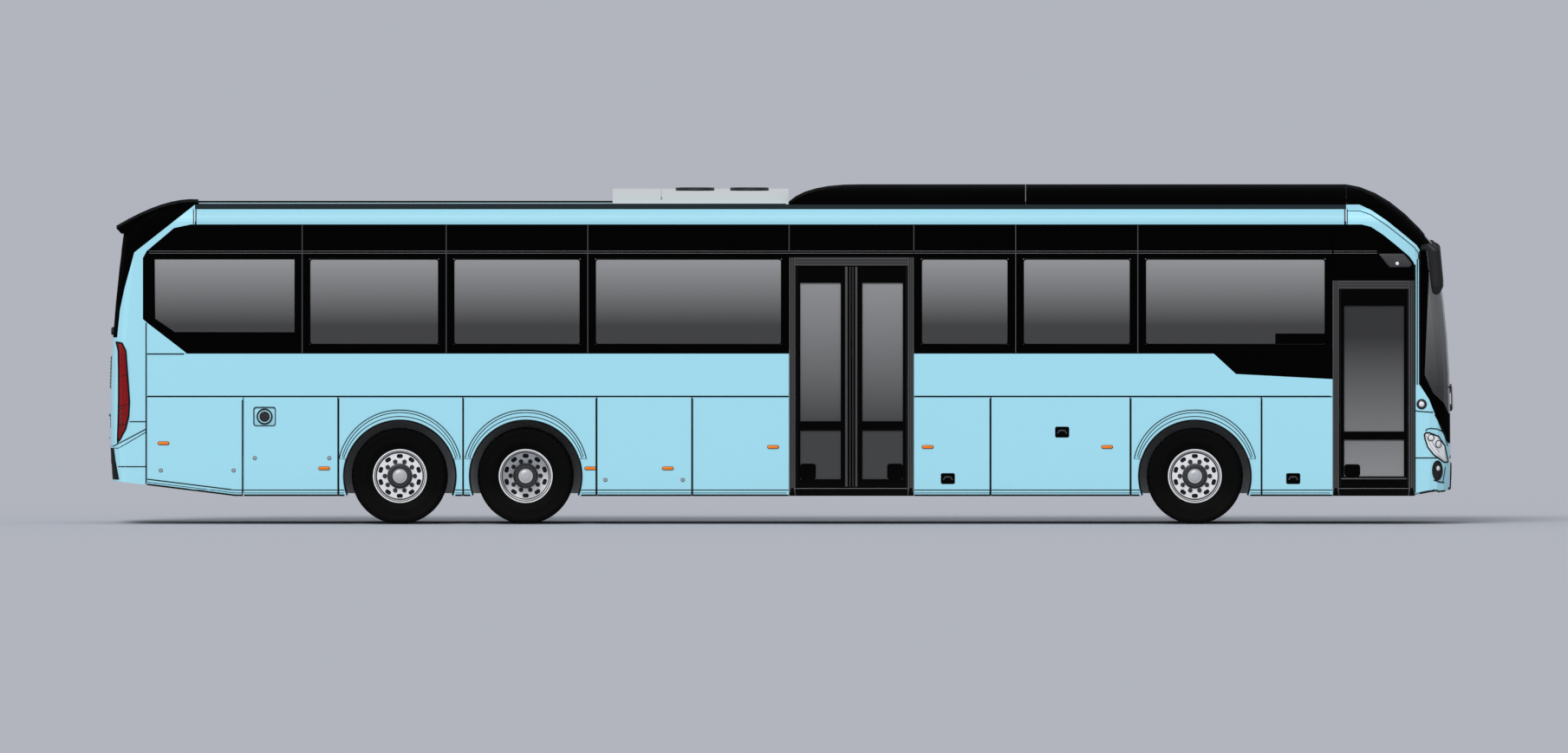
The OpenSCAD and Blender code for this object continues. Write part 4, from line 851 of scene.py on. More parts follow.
# %% [markdown]
# ## Flap locks
# Four of the flaps are locked with a key near their lower corners. The lock is a rubber collar, a turned
# barrel and a slot. It lies almost flush, so it is built from three thin parts rather than cut into the
# panel, which would need many small faces there.

# %% Flap locks
LOCKS = [(-6.918, 0.600, "tail_flap"), (-6.105, 0.600, "tail_flap"), (-5.868, 0.738, "charge_flap"),
         (-5.037, 0.738, "charge_flap"), (-1.955, 0.494, "rear_bay_flap"), (-1.0912, 0.494, "rear_bay_flap"),
         (-1.955, 0.494, "left_bay_flap"), (-1.0912, 0.494, "left_bay_flap")]
collar = [(0.0225, -0.0035), (0.0225, 0.0008), (0.0215, 0.0018), (0.019, 0.0018), (0.0182, 0.0002),
          (0.0182, -0.0035)]
barrel = [(0.0165, -0.0035), (0.0165, -0.0005), (0.0155, 0.0006), (0.006, 0.0010)]
for number, (x, z, body) in enumerate(LOCKS, 1):
    side = 1 if body == "left_bay_flap" else -1
    at = (x, side * HALF_W, z)
    skins = Skins()
    turned(skins, collar, at, 0, side, 32)
    turned(skins, barrel, at, 1, side, 32)
    wall_plate(skins, rounded_rect(0.004, 0.018, 0.0015), (x, z), [(0, 0.0004), (0, 0.0016), (0.0005, 0.002)],
               2, side)
    piece(f"flap_lock_{number}", skins, [rubber_black, cap_grey, hub_dark], body)
print(len(LOCKS), "locks")

# %% [markdown]
# ## Charging inlet
# The charging inlet is a recessed tray with a round socket behind its frame. The recess is in the solid.
# The frame, the tray in body colour and the socket's face with its contact wells are added in it, each
# as plates and turned parts, because a texture would look flat when the flap swings up.

# %% Charging inlet
INLET = (-5.760, 1.203)
WELL_R, WELLS = 0.032, 6
frame_layers = [(0, -0.003), (0, 0.002), (0.003, 0.004), (0.007, 0.004), (0.010, 0.001), (0.010, -0.016)]
tray_layers = [(0, -0.0195), (0, -0.014), (0.003, -0.0125)]
well = [(0.010, -0.002), (0.010, 0.0012), (0.0085, 0.002), (0.0065, 0.002), (0.0055, -0.001)]
inlet_at = (INLET[0], -HALF_W, INLET[1])
skins = Skins()
wall_plate(skins, rounded_rect(0.252, 0.219, 0.034), INLET, frame_layers, 0, open_middle=True)
wall_plate(skins, rounded_rect(0.236, 0.203, 0.03), INLET, tray_layers, 1)
turned(skins, [(0.090, -0.013), (0.090, -0.004), (0.086, 0.001), (0.076, 0.001), (0.072, -0.004),
               (0.072, -0.010)], inlet_at, 0)
turned(skins, [(0.058, -0.011), (0.058, -0.003), (0.055, -0.001), (0.050, -0.001)], inlet_at, 0)
for c, s in circle(WELLS):
    turned(skins, well, (inlet_at[0] + WELL_R * c, inlet_at[1], inlet_at[2] + WELL_R * s), 2, n=20)
turned(skins, well, inlet_at, 2, n=20)
piece("charging_inlet", skins, [plastic_black, coach_blue, trim_grey], "charge_flap")
print("charging inlet with", WELLS + 1, "wells")

# %% [markdown]
# ## Grab handles
# Black recessed handles sit low in the skirt and on the front bay's flap. The recess has a rounded frame,
# and the handle is a bent rod across it, which a box with bevelled edges could not be. It stays inside
# the wall's thickness, so nothing catches on it.

# %% Grab handles
GRABS = [(1.868, 0.510, "coach"), (5.723, 0.510, "coach"), (3.1434, 1.029, "front_bay_flap")]
GRAB_R, GRAB_IN, GRAB_FOOT = 0.008, 0.006, 0.021
recess_layers = [(0, -0.003), (0, 0.002), (0.003, 0.004), (0.009, 0.004), (0.012, -0.002), (0.012, -0.020),
                 (0.02, -0.0205)]


def grab_handle(name, x, z, body, side):
    skins = Skins()
    wall_plate(skins, rounded_rect(0.158, 0.122, 0.02), (x, z), recess_layers, 0, side)
    y, foot = side * (HALF_W - GRAB_IN), side * (HALF_W - GRAB_FOOT)
    rod(skins, [(x - 0.05, foot, z - 0.012), (x - 0.05, y, z - 0.012), (x - 0.03, y, z + 0.018),
                (x + 0.03, y, z + 0.018), (x + 0.05, y, z - 0.012), (x + 0.05, foot, z - 0.012)], GRAB_R, 1)
    return piece(name, skins, [leaf_black, trim_grey], body)


for number, (x, z, body) in enumerate(GRABS, 1):
    grab_handle(f"grab_handle_{number}_right", x, z, body, -1)
    if body == "coach":
        grab_handle(f"grab_handle_{number}_left", x, z, "coach", 1)
print(len(GRABS), "grab handles on the right")

# %% [markdown]
# ## Seals in the shut lines
# Between two panels lies a gap a few millimetres wide, closed from behind by a black rubber seal.
# The gap is in the solids. A black texture could fake it, but a flat rubber strip at its bottom reads as
# a dark line from every side, as it does on the real wall.

# %% A strip of seal
SHUT, SKIN = 0.012, 0.008
seal_ring = ((-1, 0.0), (-1, 0.003), (-0.4, 0.0042), (0.4, 0.0042), (1, 0.003), (1, 0.0))


def seal_strip(skins, a, b, side, wide=SHUT):
    along = (Vector((b[0], 0, b[1])) - Vector((a[0], 0, a[1]))).normalized()
    across = Vector((-along.z, 0, along.x)) * wide / 2
    skins.loft([[(c.x + k * across.x, side * (HALF_W - SKIN + out), c.z + k * across.z) for k, out in seal_ring]
                for c in (Vector((p[0], 0, p[1])) for p in (a, b))])


print("seals lie", SKIN * 1000, "mm in")

# %% Panel seals
BELT, BAND, SKIRT, HEADER, COVE = 1.419, 1.910, 0.316, 3.038, 3.349
BELT_SEAL, BELT_SEAL_W = BELT + 0.0035, 0.005
upright_seals = (-4.943, -3.5475, -2.048, -0.9932, 2.350, 3.901, 5.366)
band_seals = ((-6.631, 0.096), (1.488, 4.830))
belt_seals = ((-7.077, 0.096), (1.488, 6.165))
for side_name, side in SIDES.items():
    skins = Skins()
    for x in upright_seals:
        seal_strip(skins, (x, SKIRT), (x, BELT), side)
    for x0, x1 in band_seals:
        seal_strip(skins, (x0, BAND), (x1, BAND), side)
    for x0, x1 in belt_seals:
        seal_strip(skins, (x0, BELT_SEAL), (x1, BELT_SEAL), side, BELT_SEAL_W)
    piece(f"panel_seals_{side_name}", skins, [rubber_black], "coach")
print(len(upright_seals) + len(band_seals) + len(belt_seals), "seals a side")

# %% [markdown]
# ## Header trim and band joints
# Over the windows run two thin anodised strips, and a narrow joint parts each black glass panel from the
# next. They are rods sunk halfway into the wall, so that a rounded edge catches the light.

# %% Header trim and band joints
TRIM = (-7.05, 6.66)
TRIM_R, TRIM_APART, JOINT_R = 0.0032, 0.012, 0.0062
TRIM_OUT = 0.0005
band_joints = [-5.340, -3.732, -2.152, 0.096, 1.488, 2.625, 3.989]
doorways = {-1: (0.096, 1.488), 1: ()}
for side_name, side in SIDES.items():
    skins = Skins()
    for z in (HEADER - TRIM_APART, HEADER + TRIM_APART):
        rod(skins, [(x, side * (HALF_W + TRIM_OUT), z) for x in TRIM], TRIM_R, 0, 8)
    for x in band_joints:
        foot = HEADER + 0.02 if x in doorways[side] else BAND + 0.006
        rod(skins, [(x, side * (HALF_W - TRIM_OUT), z) for z in (foot, COVE - 0.006)], JOINT_R, 0, 8)
    piece(f"header_trim_{side_name}", skins, [trim_grey], "coach")
print("header trim", round(TRIM[1] - TRIM[0], 2), "m long")

# %% [markdown]
# ## Window gaskets
# Each pane is bonded in and finished with a black bead of rubber round its edge. The bead could be part
# of the black band, but as a rod round the pane it softens the step between glass and wall.

# %% Window gaskets
GLASS_FOOT, GLASS_TOP, MARGIN = 2.006, 2.965, 0.082
GASKET_R, GASKET_IN, PANE_CORNER = 0.0085, 0.002, 0.035
bays = [(-5.340, -3.732), (-3.732, -2.152), (-2.152, 0.096), (1.488, 2.625), (2.625, 3.989), (3.989, 6.165)]
left_bays = [(0.096, 1.488), (6.165, 7.080)]
rear_pane = [(-6.989, 2.291), (-6.761, 2.138), (-5.422, 2.138), (-5.422, 2.965), (-6.989, 2.965)]
for side_name, side in SIDES.items():
    skins = Skins()
    for x0, x1 in bays + (left_bays if side > 0 else []):
        ring = rounded_rect(x1 - x0 - 2 * MARGIN, GLASS_TOP - GLASS_FOOT, PANE_CORNER, 6)
        x, z = (x0 + x1) / 2, (GLASS_FOOT + GLASS_TOP) / 2
        rod(skins, [(x + u, side * HALF_W, z + v) for u, v in inset(ring + ring[:1], GASKET_IN)], GASKET_R, 0, 8)
    rod(skins, [(x, side * HALF_W, z) for x, z in rear_pane + rear_pane[:1]], GASKET_R, 0, 8)
    piece(f"window_gaskets_{side_name}", skins, [band_black], "coach")
print(len(bays) + 1, "gaskets on the right")

# %% [markdown]
# ## Trim on curved skin
# The nose and the tail are curved, so a line drawn in side view has to be dropped onto the skin. The
# shrinkwrap modifier does that too, but only to the nearest point. Here a ray is shot at the solids for
# each point of the line, and the skin's own normal lifts the point clear where it lands.

# %% A skin to shoot at


def skin_tree(*names):
    verts, faces = [], []
    for name in names:
        base = len(verts)
        verts += [v.co.copy() for v in nodes[name].data.vertices]
        faces += [[base + i for i in f.vertices] for f in nodes[name].data.polygons]
    return BVHTree.FromPolygons(verts, faces)


nose_skin = skin_tree("front_panel", "front_bumper", "front_lamps", "front_mask", "front_corners", "windscreen")
tail_skin = skin_tree("rear_quarters", "rear_bumper", "tail_lamps", "rear_mask", "rear_window", "rear_hatch")
print("skins of nose and tail ready")

# %% Dropping points onto the skin
FAR_OUT = 3.0
NOSE, TAIL = 7.476, -7.476
RAYS = {"right": (1, -1), "left": (1, 1), "ahead": (0, 1), "behind": (0, -1)}
TAIL_BEND = {"right_tail": -1, "left_tail": 1}
BEND_IN, BEND_SIDE, BEND_DEPTH = 0.15, 0.26, 0.8


def dropped(tree, view, p, lift):
    """The skin point seen at p: (x, z) from a side, (y, z) from an end, (angle, z) round a tail corner."""
    if view in TAIL_BEND:
        turn, side = math.radians(p[0]), TAIL_BEND[view]
        toward = -Vector((math.cos(turn), side * math.sin(turn), 0))
        start, depth = Vector((TAIL + BEND_IN, side * (HALF_W - BEND_SIDE), p[1])) - toward, BEND_DEPTH
    elif RAYS[view][0]:
        toward = Vector((0, -RAYS[view][1], 0))
        start, depth = Vector((p[0], 0, p[1])) - toward * FAR_OUT, FAR_OUT - HALF_W
    else:
        toward = Vector((-RAYS[view][1], 0, 0))
        start, depth = Vector((0, p[0], p[1])) - toward * 3 * FAR_OUT, 3 * FAR_OUT - NOSE
    hit, normal, _, _ = tree.ray_cast(start, toward)
    if hit is None:
        hit, normal, _, _ = tree.find_nearest(start + toward * depth)
    out = normal if normal.dot(toward) < 0 else -normal
    return hit + out * lift, out


print("rays from", ", ".join([*RAYS, *TAIL_BEND]))

# %% [markdown]
# ## Beads and caps
# Most trim on the skin is a bead, which is a rod along a line, or a cap, a turned part that stands square
# on the skin. A seam could be a groove and a lens a bump in the mesh, but as parts of their own they keep
# their finish and a sharp edge. Both are built from dropped points.

# %% Beads on the skin
STEP, SUNK = 0.03, 0.3


def stepped(points):
    out = []
    for a, b in zip(points, points[1:]):
        n = max(1, round(math.dist(a, b) / STEP))
        out += [tuple(p + (q - p) * k / n for p, q in zip(a, b)) for k in range(n)]
    return out + [points[-1]]


def bead(skins, tree, view, points, radius, finish=0, closed=False, lift=None, n=6):
    line = stepped(points + points[:1] if closed else points)
    path = [dropped(tree, view, p, radius * SUNK if lift is None else lift)[0] for p in line]
    rod(skins, path, radius, finish, n)


print("beads stepped by", STEP * 1000, "mm")

# %% Caps on the skin


def cap(skins, tree, view, p, profile, finish=0, n=28):
    """A turned part that stands on the skin at p; the profile is (radius, distance out)."""
    foot, out = dropped(tree, view, p, 0.0)
    u = out.cross(Vector((0, 0, 1))).normalized()
    v = out.cross(u)
    skins.loft([[tuple(foot + out * h + (u * c + v * s) * r) for c, s in circle(n)] for r, h in profile], finish)


print("caps ready")

# %% [markdown]
# ## Headlamps
# The headlamp is an almond of clear plastic in a dark rim, with an eyelid crease above it. The clear solid
# is there already. Its rim, two reflector bowls with their lenses and a light guide lie on it, because
# a clear shell with modelled insides would hardly show at this size.

# %% Headlamps
almond = ((0.289, 1.002), (0.270, 1.022), (0.235, 1.022), (0.134, 0.982), (0.061, 0.873), (0.027, 0.692),
          (0.069, 0.692), (0.186, 0.777), (0.250, 0.860), (0.281, 0.950))
head_lamp = [(NOSE - q, z) for q, z in almond]
eyelid = [(7.201, 1.042), (7.215, 1.062), (7.253, 1.070), (7.330, 1.064), (7.400, 1.030), (7.435, 0.965)]
light_guide = [(7.205, 0.990), (7.260, 0.872), (7.320, 0.790), (7.400, 0.720)]
second_guide = [(x + 0.03, z + 0.016) for x, z in light_guide[:3]]
bowls = (((7.262, 0.966), 0.040), ((7.345, 0.895), 0.046))
for side_name in SIDES:
    skins = Skins()
    bead(skins, nose_skin, side_name, head_lamp, 0.0085, 0, closed=True)
    bead(skins, nose_skin, side_name, eyelid, 0.006, 0)
    bead(skins, nose_skin, side_name, light_guide, 0.005, 1)
    bead(skins, nose_skin, side_name, second_guide, 0.003, 2)
    for at, r in bowls:
        cap(skins, nose_skin, side_name, at,
            [(r, -0.004), (r, 0.003), (r - 0.005, 0.006), (r - 0.010, 0.003)], 2)
        cap(skins, nose_skin, side_name, at,
            [(r - 0.010, -0.004), (r - 0.011, 0.003), (r - 0.022, 0.008), (0.004, 0.010)], 3)
    piece(f"headlamp_rim_{side_name}", skins, [rubber_black, chrome, trim_grey, clear_lens], "coach")
print("headlamp rims of", len(almond), "points")

# %% [markdown]
# ## Fog lamps and corner lamps
# The fog lamp is a dark oval with one small round lens, and a round lamp stands on the corner above. The
# oval's solid is part of the lamps, so its faces only turn black; rims and lenses are beads and caps.

# %% Black ovals of the fog lamps
FOG_X, FOG_TOP, FOG_HALF = 7.332, 0.7099, 0.0535
lamp_faces = nodes["front_lamps"].data
lamp_faces.materials.append(plastic_black)
for face in lamp_faces.polygons:
    low = max(lamp_faces.vertices[i].co.z for i in face.vertices) < FOG_TOP
    if low and abs(face.center.x - FOG_X) < FOG_HALF:
        face.material_index = 1
print(sum(f.material_index for f in lamp_faces.polygons), "faces of the fog lamps are black")

# %% Fog lamps and corner lamps
fog_rim = [(FOG_X + u, 0.600 + v) for u, v in oval(0.106, 0.210, 28)]
fog_lens, corner_lamp = (7.338, 0.625), (7.157, 1.341)
fog_lines = (([(7.290, 0.494), (7.340, 0.476), (7.405, 0.464)], 0.007),
             ([(7.418, 0.640), (7.408, 0.560), (7.392, 0.470)], 0.006))
for side_name, side in SIDES.items():
    skins = Skins()
    bead(skins, nose_skin, side_name, fog_rim, 0.008, 0, closed=True)
    cap(skins, nose_skin, side_name, fog_lens, [(0.034, -0.004), (0.034, 0.006), (0.030, 0.009), (0.027, 0.004)], 1)
    cap(skins, nose_skin, side_name, fog_lens, [(0.027, -0.004), (0.027, 0.004), (0.018, 0.009), (0.004, 0.011)], 2)
    for line, r in fog_lines:
        bead(skins, nose_skin, side_name, line, r, 0)
    at = (corner_lamp[0], side * HALF_W, corner_lamp[1])
    turned(skins, [(0.058, -0.004), (0.058, 0.004), (0.052, 0.010), (0.044, 0.010), (0.040, 0.004)], at, 0, side)
    turned(skins, [(0.041, -0.004), (0.041, 0.005), (0.034, 0.008), (0.029, 0.003)], at, 1, side)
    turned(skins, [(0.029, -0.004), (0.029, 0.004), (0.020, 0.010), (0.004, 0.012)], at, 2, side)
    piece(f"nose_lamps_{side_name}", skins, [plastic_black, trim_grey, clear_lens], "coach")
print("fog and corner lamps")

# %% [markdown]
# ## Lines of the nose
# Dark seams part the bumper from the panel above it, and the black mask from the blue. The blue corner
# strip runs between two dark lines with a third in its middle. Cutting such grooves into curved solids
# is hard work; a black bead sunk into the skin reads the same.

# %% Nose seams
SEAM_R, SWEEP_R, LIP_R, LIP_STEPS = 0.006, 0.0045, 0.012, 6
seams = ([(7.083, 0.741), (7.335, 0.741)],
         [(7.083, 1.272), (7.115, 1.262), (7.200, 1.256), (7.285, 1.250)],
         [(7.303, 1.224), (7.350, 1.135), (7.394, 1.042), (7.430, 0.930), (7.444, 0.872)])
strip_lines = ((7.0825, 0.008, 2.90), (7.108, 0.006, 2.96), (7.1335, 0.008, 3.05))
STRIP_FOOT = 1.560
door_edge = [(7.0835, 0.330), (7.0835, STRIP_FOOT)]
sweep = [(6.330, 3.500), (6.470, 3.498), (6.590, 3.455), (6.772, 3.335), (6.979, 3.172), (7.080, 3.085),
         (7.118, 3.030), (7.122, 2.96)]
lip = [(7.140 + 0.28 * k / LIP_STEPS, 0.326 + 0.053 * k / LIP_STEPS) for k in range(LIP_STEPS + 1)]
for side_name in SIDES:
    skins = Skins()
    for line in seams:
        bead(skins, nose_skin, side_name, line, SEAM_R)
    for x, r, top in strip_lines:
        bead(skins, nose_skin, side_name, [(x, STRIP_FOOT), (x, top)], r)
    for line, r in ((door_edge, SEAM_R), (sweep, SWEEP_R), (lip, LIP_R)):
        bead(skins, nose_skin, side_name, line, r)
    piece(f"nose_seams_{side_name}", skins, [rubber_black], "coach")
print(len(seams) + len(strip_lines) + 3, "lines a side")

# %% [markdown]
# ## Patches
# A plate, a pane or the sheet behind a grille is a patch: a thin sheet between two lines. A flat sheet
# would stand off the curved nose at its ends, so every point of the patch is dropped onto the skin.

# %% Patches on the skin
PATCH_FOOT = -0.002


def patch(skins, tree, view, edge_a, edge_b, thick, finish=0, across=6):
    """A thin sheet between two lines with as many points each."""
    rows = []
    for k in range(across + 1):
        t = k / across
        rows.append([tuple(p + (q - p) * t for p, q in zip(a, b)) for a, b in zip(edge_a, edge_b)])
    loops = []
    for column in zip(*rows):
        top = [dropped(tree, view, p, thick)[0] for p in column]
        foot = [dropped(tree, view, p, PATCH_FOOT)[0] for p in reversed(column)]
        loops.append([tuple(p) for p in top + foot])
    skins.loft(loops, finish)


print("patches are sunk", -PATCH_FOOT * 1000, "mm")

# %% Level lines across an end


def level(y_points, z):
    """A level line across an end of the coach."""
    return [(y, z) for y in y_points]


def spread_points(half, n):
    return [-half + 2 * half * k / n for k in range(n + 1)]


print("three points across:", spread_points(1.0, 2))

# %% [markdown]
# ## Grille and plate
# An electric coach needs little air, so its grille is a low mouth in the bumper: a frame, level slats and
# behind them a black sheet. A blank plate stands on it. Slats are beads, which follow the curve of the
# bumper by themselves.

# %% Grille, lip and plate
reach, mouth, plate = spread_points(1.06, 24), spread_points(0.86, 16), spread_points(0.26, 8)
PLATE_IN = 0.97
plate_face = [y * PLATE_IN for y in plate]
mouth_frame = [(-0.88, 0.418), (0.88, 0.418), (0.88, 0.652), (-0.88, 0.652)]
slats = (0.455, 0.485, 0.515, 0.545, 0.575, 0.605)
skins = Skins()
bead(skins, nose_skin, "ahead", level(reach, 0.741), 0.006, 0)
bead(skins, nose_skin, "ahead", level(reach, 0.396), 0.014, 0)
patch(skins, nose_skin, "ahead", level(mouth, 0.430), level(mouth, 0.640), 0.004, 0)
bead(skins, nose_skin, "ahead", mouth_frame, 0.012, 0, closed=True, n=8)
for z in slats:
    bead(skins, nose_skin, "ahead", level(mouth, z), 0.008, 1, lift=0.006)
patch(skins, nose_skin, "ahead", level(plate, 0.478), level(plate, 0.592), 0.016, 1)
patch(skins, nose_skin, "ahead", level(plate_face, 0.483), level(plate_face, 0.587), 0.018, 2)
piece("nose_grille", skins, [plastic_black, hub_dark, roof_white], "coach")
print("grille of", len(slats), "slats and a blank plate")

# %% [markdown]
# ## Wipers and front sign
# Two wipers rest on the screen, with the blades across its foot. Each is a bent arm, a blade and a cap
# on its spindle. Straight parts would cut into the curved screen, so arm and blade are beads, lifted clear
# of the glass. Above the screen, a plain dark pane stands where a route sign would light up.

# %% Wipers
spindle = [(0.030, -0.005), (0.030, 0.012), (0.022, 0.024), (0.008, 0.027)]
wiper_parts = [([(0.62, 1.285), (0.61, 1.36), (0.56, 1.500)], 0.011, 1, 0.024, 8),
               ([(0.98, 1.530), (0.55, 1.500), (0.06, 1.455)], 0.008, 0, 0.017, 8),
               ([(0.98, 1.522), (0.55, 1.492), (0.06, 1.447)], 0.004, 2, 0.004, 4)]
for side_name, side in SIDES.items():
    skins = Skins()
    cap(skins, nose_skin, "ahead", (side * 0.62, 1.285), spindle, 0)
    for line, r, finish, lift, n in wiper_parts:
        bead(skins, nose_skin, "ahead", [(side * y, z) for y, z in line], r, finish, lift=lift, n=n)
    piece(f"wiper_{side_name}", skins, [plastic_black, cap_grey, rubber_black], "coach")
print("wipers with blades", round(0.98 - 0.06, 2), "m long")

# %% Sign pane
sign = spread_points(0.72, 14)
skins = Skins()
patch(skins, nose_skin, "ahead", level(sign, 3.030), level(sign, 3.210), 0.003, 0)
piece("sign_pane", skins, [sign_pane], "coach")
print("sign pane", round(sign[-1] - sign[0], 2), "m wide")

# %% [markdown]
# ## Tail lamps
# The tail lamp is a tall red blade in a black rim, parted into chambers, with two light guides and a row
# of small bulbs' bowls. The red solid is there; the rest lies on it as beads and caps, dropped from the side.

# %% Tail lamps
blade = ((0.064, 2.033), (0.126, 2.021), (0.166, 1.940), (0.180, 1.750), (0.194, 1.560), (0.207, 1.370),
         (0.199, 1.207), (0.166, 1.071), (0.112, 0.962), (0.077, 0.910), (0.085, 1.125), (0.090, 1.397),
         (0.090, 1.722), (0.086, 1.940))
tail_guides = (((0.118, 1.945), (0.130, 1.700), (0.140, 1.400), (0.132, 1.150), (0.108, 1.010)),
               ((0.145, 1.900), (0.158, 1.700), (0.172, 1.400), (0.160, 1.170)))
chambers = ((1.660, 0.181), (1.330, 0.202), (1.110, 0.170))
BULBS = 5


def from_tail(line):
    return [(TAIL + q, z) for q, z in line]


for side_name in SIDES:
    skins = Skins()
    bead(skins, tail_skin, side_name, from_tail(blade), 0.010, 0, closed=True)
    for z, q in chambers:
        bead(skins, tail_skin, side_name, from_tail([(0.092, z - 0.01), (q, z + 0.01)]), 0.004, 0)
    for guide in tail_guides:
        bead(skins, tail_skin, side_name, from_tail(guide), 0.006, 1)
    for k in range(BULBS):
        at = (TAIL + 0.122 - 0.004 * abs(k - 2), 1.080 + 0.055 * k)
        cap(skins, tail_skin, side_name, at, [(0.014, -0.002), (0.014, 0.004), (0.006, 0.006)], 2, 14)
    piece(f"tail_lamp_rim_{side_name}", skins, [rubber_black, red_lens, hub_dark], "coach")
print("tail lamps with", BULBS, "bowls each")

# %% [markdown]
# ## Lines of the tail
# Seams part the bumper from the quarter, and a black pad guards the bumper's corner. The corner bends by a
# right angle, so the pad's points are shot at it round the bend, by angle and height.

# %% Tail seams and bumper pads
tail_lines = [([(-7.268, 1.146), (-7.083, 1.146)], 0.0055), ([(-7.452, 0.868), (-7.083, 1.064)], 0.0055),
              ([(-7.440, 0.850), (-7.390, 0.850), (-7.083, 1.030)], 0.004),
              ([(-7.392, 0.643), (-7.083, 0.643)], 0.0055), ([(-7.0825, 0.445), (-7.0825, 2.250)], 0.0065)]
PAD_STEPS = 8
pad_foot = [(105 + 70 * k / PAD_STEPS, 0.500) for k in range(PAD_STEPS + 1)]
pad_top = [(126 + 49 * k / PAD_STEPS, 0.850) for k in range(PAD_STEPS + 1)]
for side_name in SIDES:
    skins = Skins()
    for line, r in tail_lines:
        bead(skins, tail_skin, side_name, line, r)
    patch(skins, tail_skin, f"{side_name}_tail", pad_foot, pad_top, 0.006, 0, 10)
    piece(f"tail_seams_{side_name}", skins, [rubber_black], "coach")
print(len(tail_lines), "seams and a pad a side")

# %% [markdown]
# ## Hatch
# The rear hatch has a vent with louvres, a blank plate under its lamp hood and a handle. Like the grille
# they are patches and beads, and they ride on the hatch, so they lift with it.

# %% Hatch louvres, plate and handle
vent = spread_points(0.70, 14)
LOUVRES = 9
hood = [y * 1.1 for y in plate]
handle = [(-0.11, 0.945), (-0.10, 0.95), (0.10, 0.95), (0.11, 0.945)]
skins = Skins()
patch(skins, tail_skin, "behind", level(vent, 1.500), level(vent, 1.860), 0.003, 0)
for k in range(LOUVRES):
    bead(skins, tail_skin, "behind", level(vent, 1.520 + 0.04 * k), 0.010, 1, lift=0.006)
patch(skins, tail_skin, "behind", level(plate, 1.060), level(plate, 1.174), 0.006, 1)
patch(skins, tail_skin, "behind", level(plate_face, 1.065), level(plate_face, 1.169), 0.009, 2)
bead(skins, tail_skin, "behind", level(hood, 1.200), 0.014, 1, lift=0.008, n=10)
bead(skins, tail_skin, "behind", handle, 0.011, 3, lift=0.016, n=10)
piece("hatch_dressing", skins, [plastic_black, trim_grey, roof_white, chrome], "hatch")
print(LOUVRES, "louvres on the hatch")

# %% Rear valance
lower = spread_points(0.98, 20)
skins = Skins()
patch(skins, tail_skin, "behind", level(lower, 0.510), level(lower, 0.640), 0.005, 0)
for y in (-0.74, 0.74):
    cap(skins, tail_skin, "behind", (y, 2.140), [(0.034, -0.004), (0.034, 0.014), (0.026, 0.024), (0.010, 0.027)], 0)
    cap(skins, tail_skin, "behind", (y, 0.700), [(0.042, -0.004), (0.042, 0.004), (0.036, 0.008), (0.010, 0.009)], 1)
piece("rear_valance", skins, [plastic_black, red_lens], "coach")
print("valance", round(lower[-1] - lower[0], 2), "m wide")

# %% [markdown]
# ## Doors
# Each leaf has a black pad over the lower corner of its glass, rubber along its edges and a grab rail
# inside; the front leaf has a kick strip, the middle leaves grey stiles where they meet. They could be
# joined to the portal's trim, which is one piece, but they ride on the leaf, so that they swing out with it.

# %% Parts of a door leaf
LEAF_FOOT = 0.411
PANE_OUT = HALF_W - LEAF_T / 2 + 0.007
LEAF_IN = -HALF_W + LEAF_T
EDGE_IN, EDGE_R, RAIL_R = 0.006, 0.004, 0.013
rail_line = ((-0.002, 1.24), (0.030, 1.26), (0.042, 1.31), (0.042, 1.88), (0.030, 1.93), (-0.002, 1.95))


def span_plate(skins, box, corner, layers, finish, wall=HALF_W):
    """A plate on the right wall that fills the box (x0, x1, z0, z1)."""
    x0, x1, z0, z1 = box
    wall_plate(skins, rounded_rect(x1 - x0, z1 - z0, corner), ((x0 + x1) / 2, (z0 + z1) / 2), layers, finish,
               wall=wall)


print("grab rails stand", rail_line[2][0] * 1000, "mm off the leaf")

# %% Door leaf trim
leaves = [("front_door_leaf", (6.243, 7.007), 2.626, (6.294, 6.470, 0.534, 0.670), 6.90),
          ("mid_rear_leaf", (0.174, 0.788), 2.885, (0.220, 0.394, 0.503, 0.677), 0.715),
          ("mid_front_leaf", (0.796, 1.410), 2.885, (1.190, 1.364, 0.503, 0.677), 0.869)]
stiles = {"mid_rear_leaf": ((0.722, 0.748), (0.772, 0.781)), "mid_front_leaf": ((0.803, 0.812), (0.835, 0.857))}
kick_layers = [(0, -0.001), (0.001, 0.002), (0.004, 0.003)]
for body, (x0, x1), top, pad, rail_x in leaves:
    skins = Skins()
    span_plate(skins, pad, 0.03, [(0, -0.002), (0, 0.005), (0.003, 0.008)], 3, PANE_OUT)
    if body == "front_door_leaf":
        span_plate(skins, (x0 + 0.015, x1 - 0.015, 0.501, 0.515), 0.006, kick_layers, 1)
    for x in (x0 + EDGE_IN, x1 - EDGE_IN):
        rod(skins, [(x, -HALF_W - 0.001, z) for z in (LEAF_FOOT + 0.01, top - 0.01)], EDGE_R, 2, 8)
    for u0, u1 in stiles.get(body, ()):
        span_plate(skins, (u0, u1, LEAF_FOOT + 0.01, top - 0.01), 0.003, [(0, -0.001), (0, 0.001), (0.002, 0.002)], 4)
    rod(skins, [(rail_x, LEAF_IN + out, z) for out, z in rail_line], RAIL_R, 1, 12)
    piece(f"{body}_trim", skins, [plastic_black, trim_grey, rubber_black, leaf_black, portal_grey], body)
print(len(leaves), "leaves trimmed")

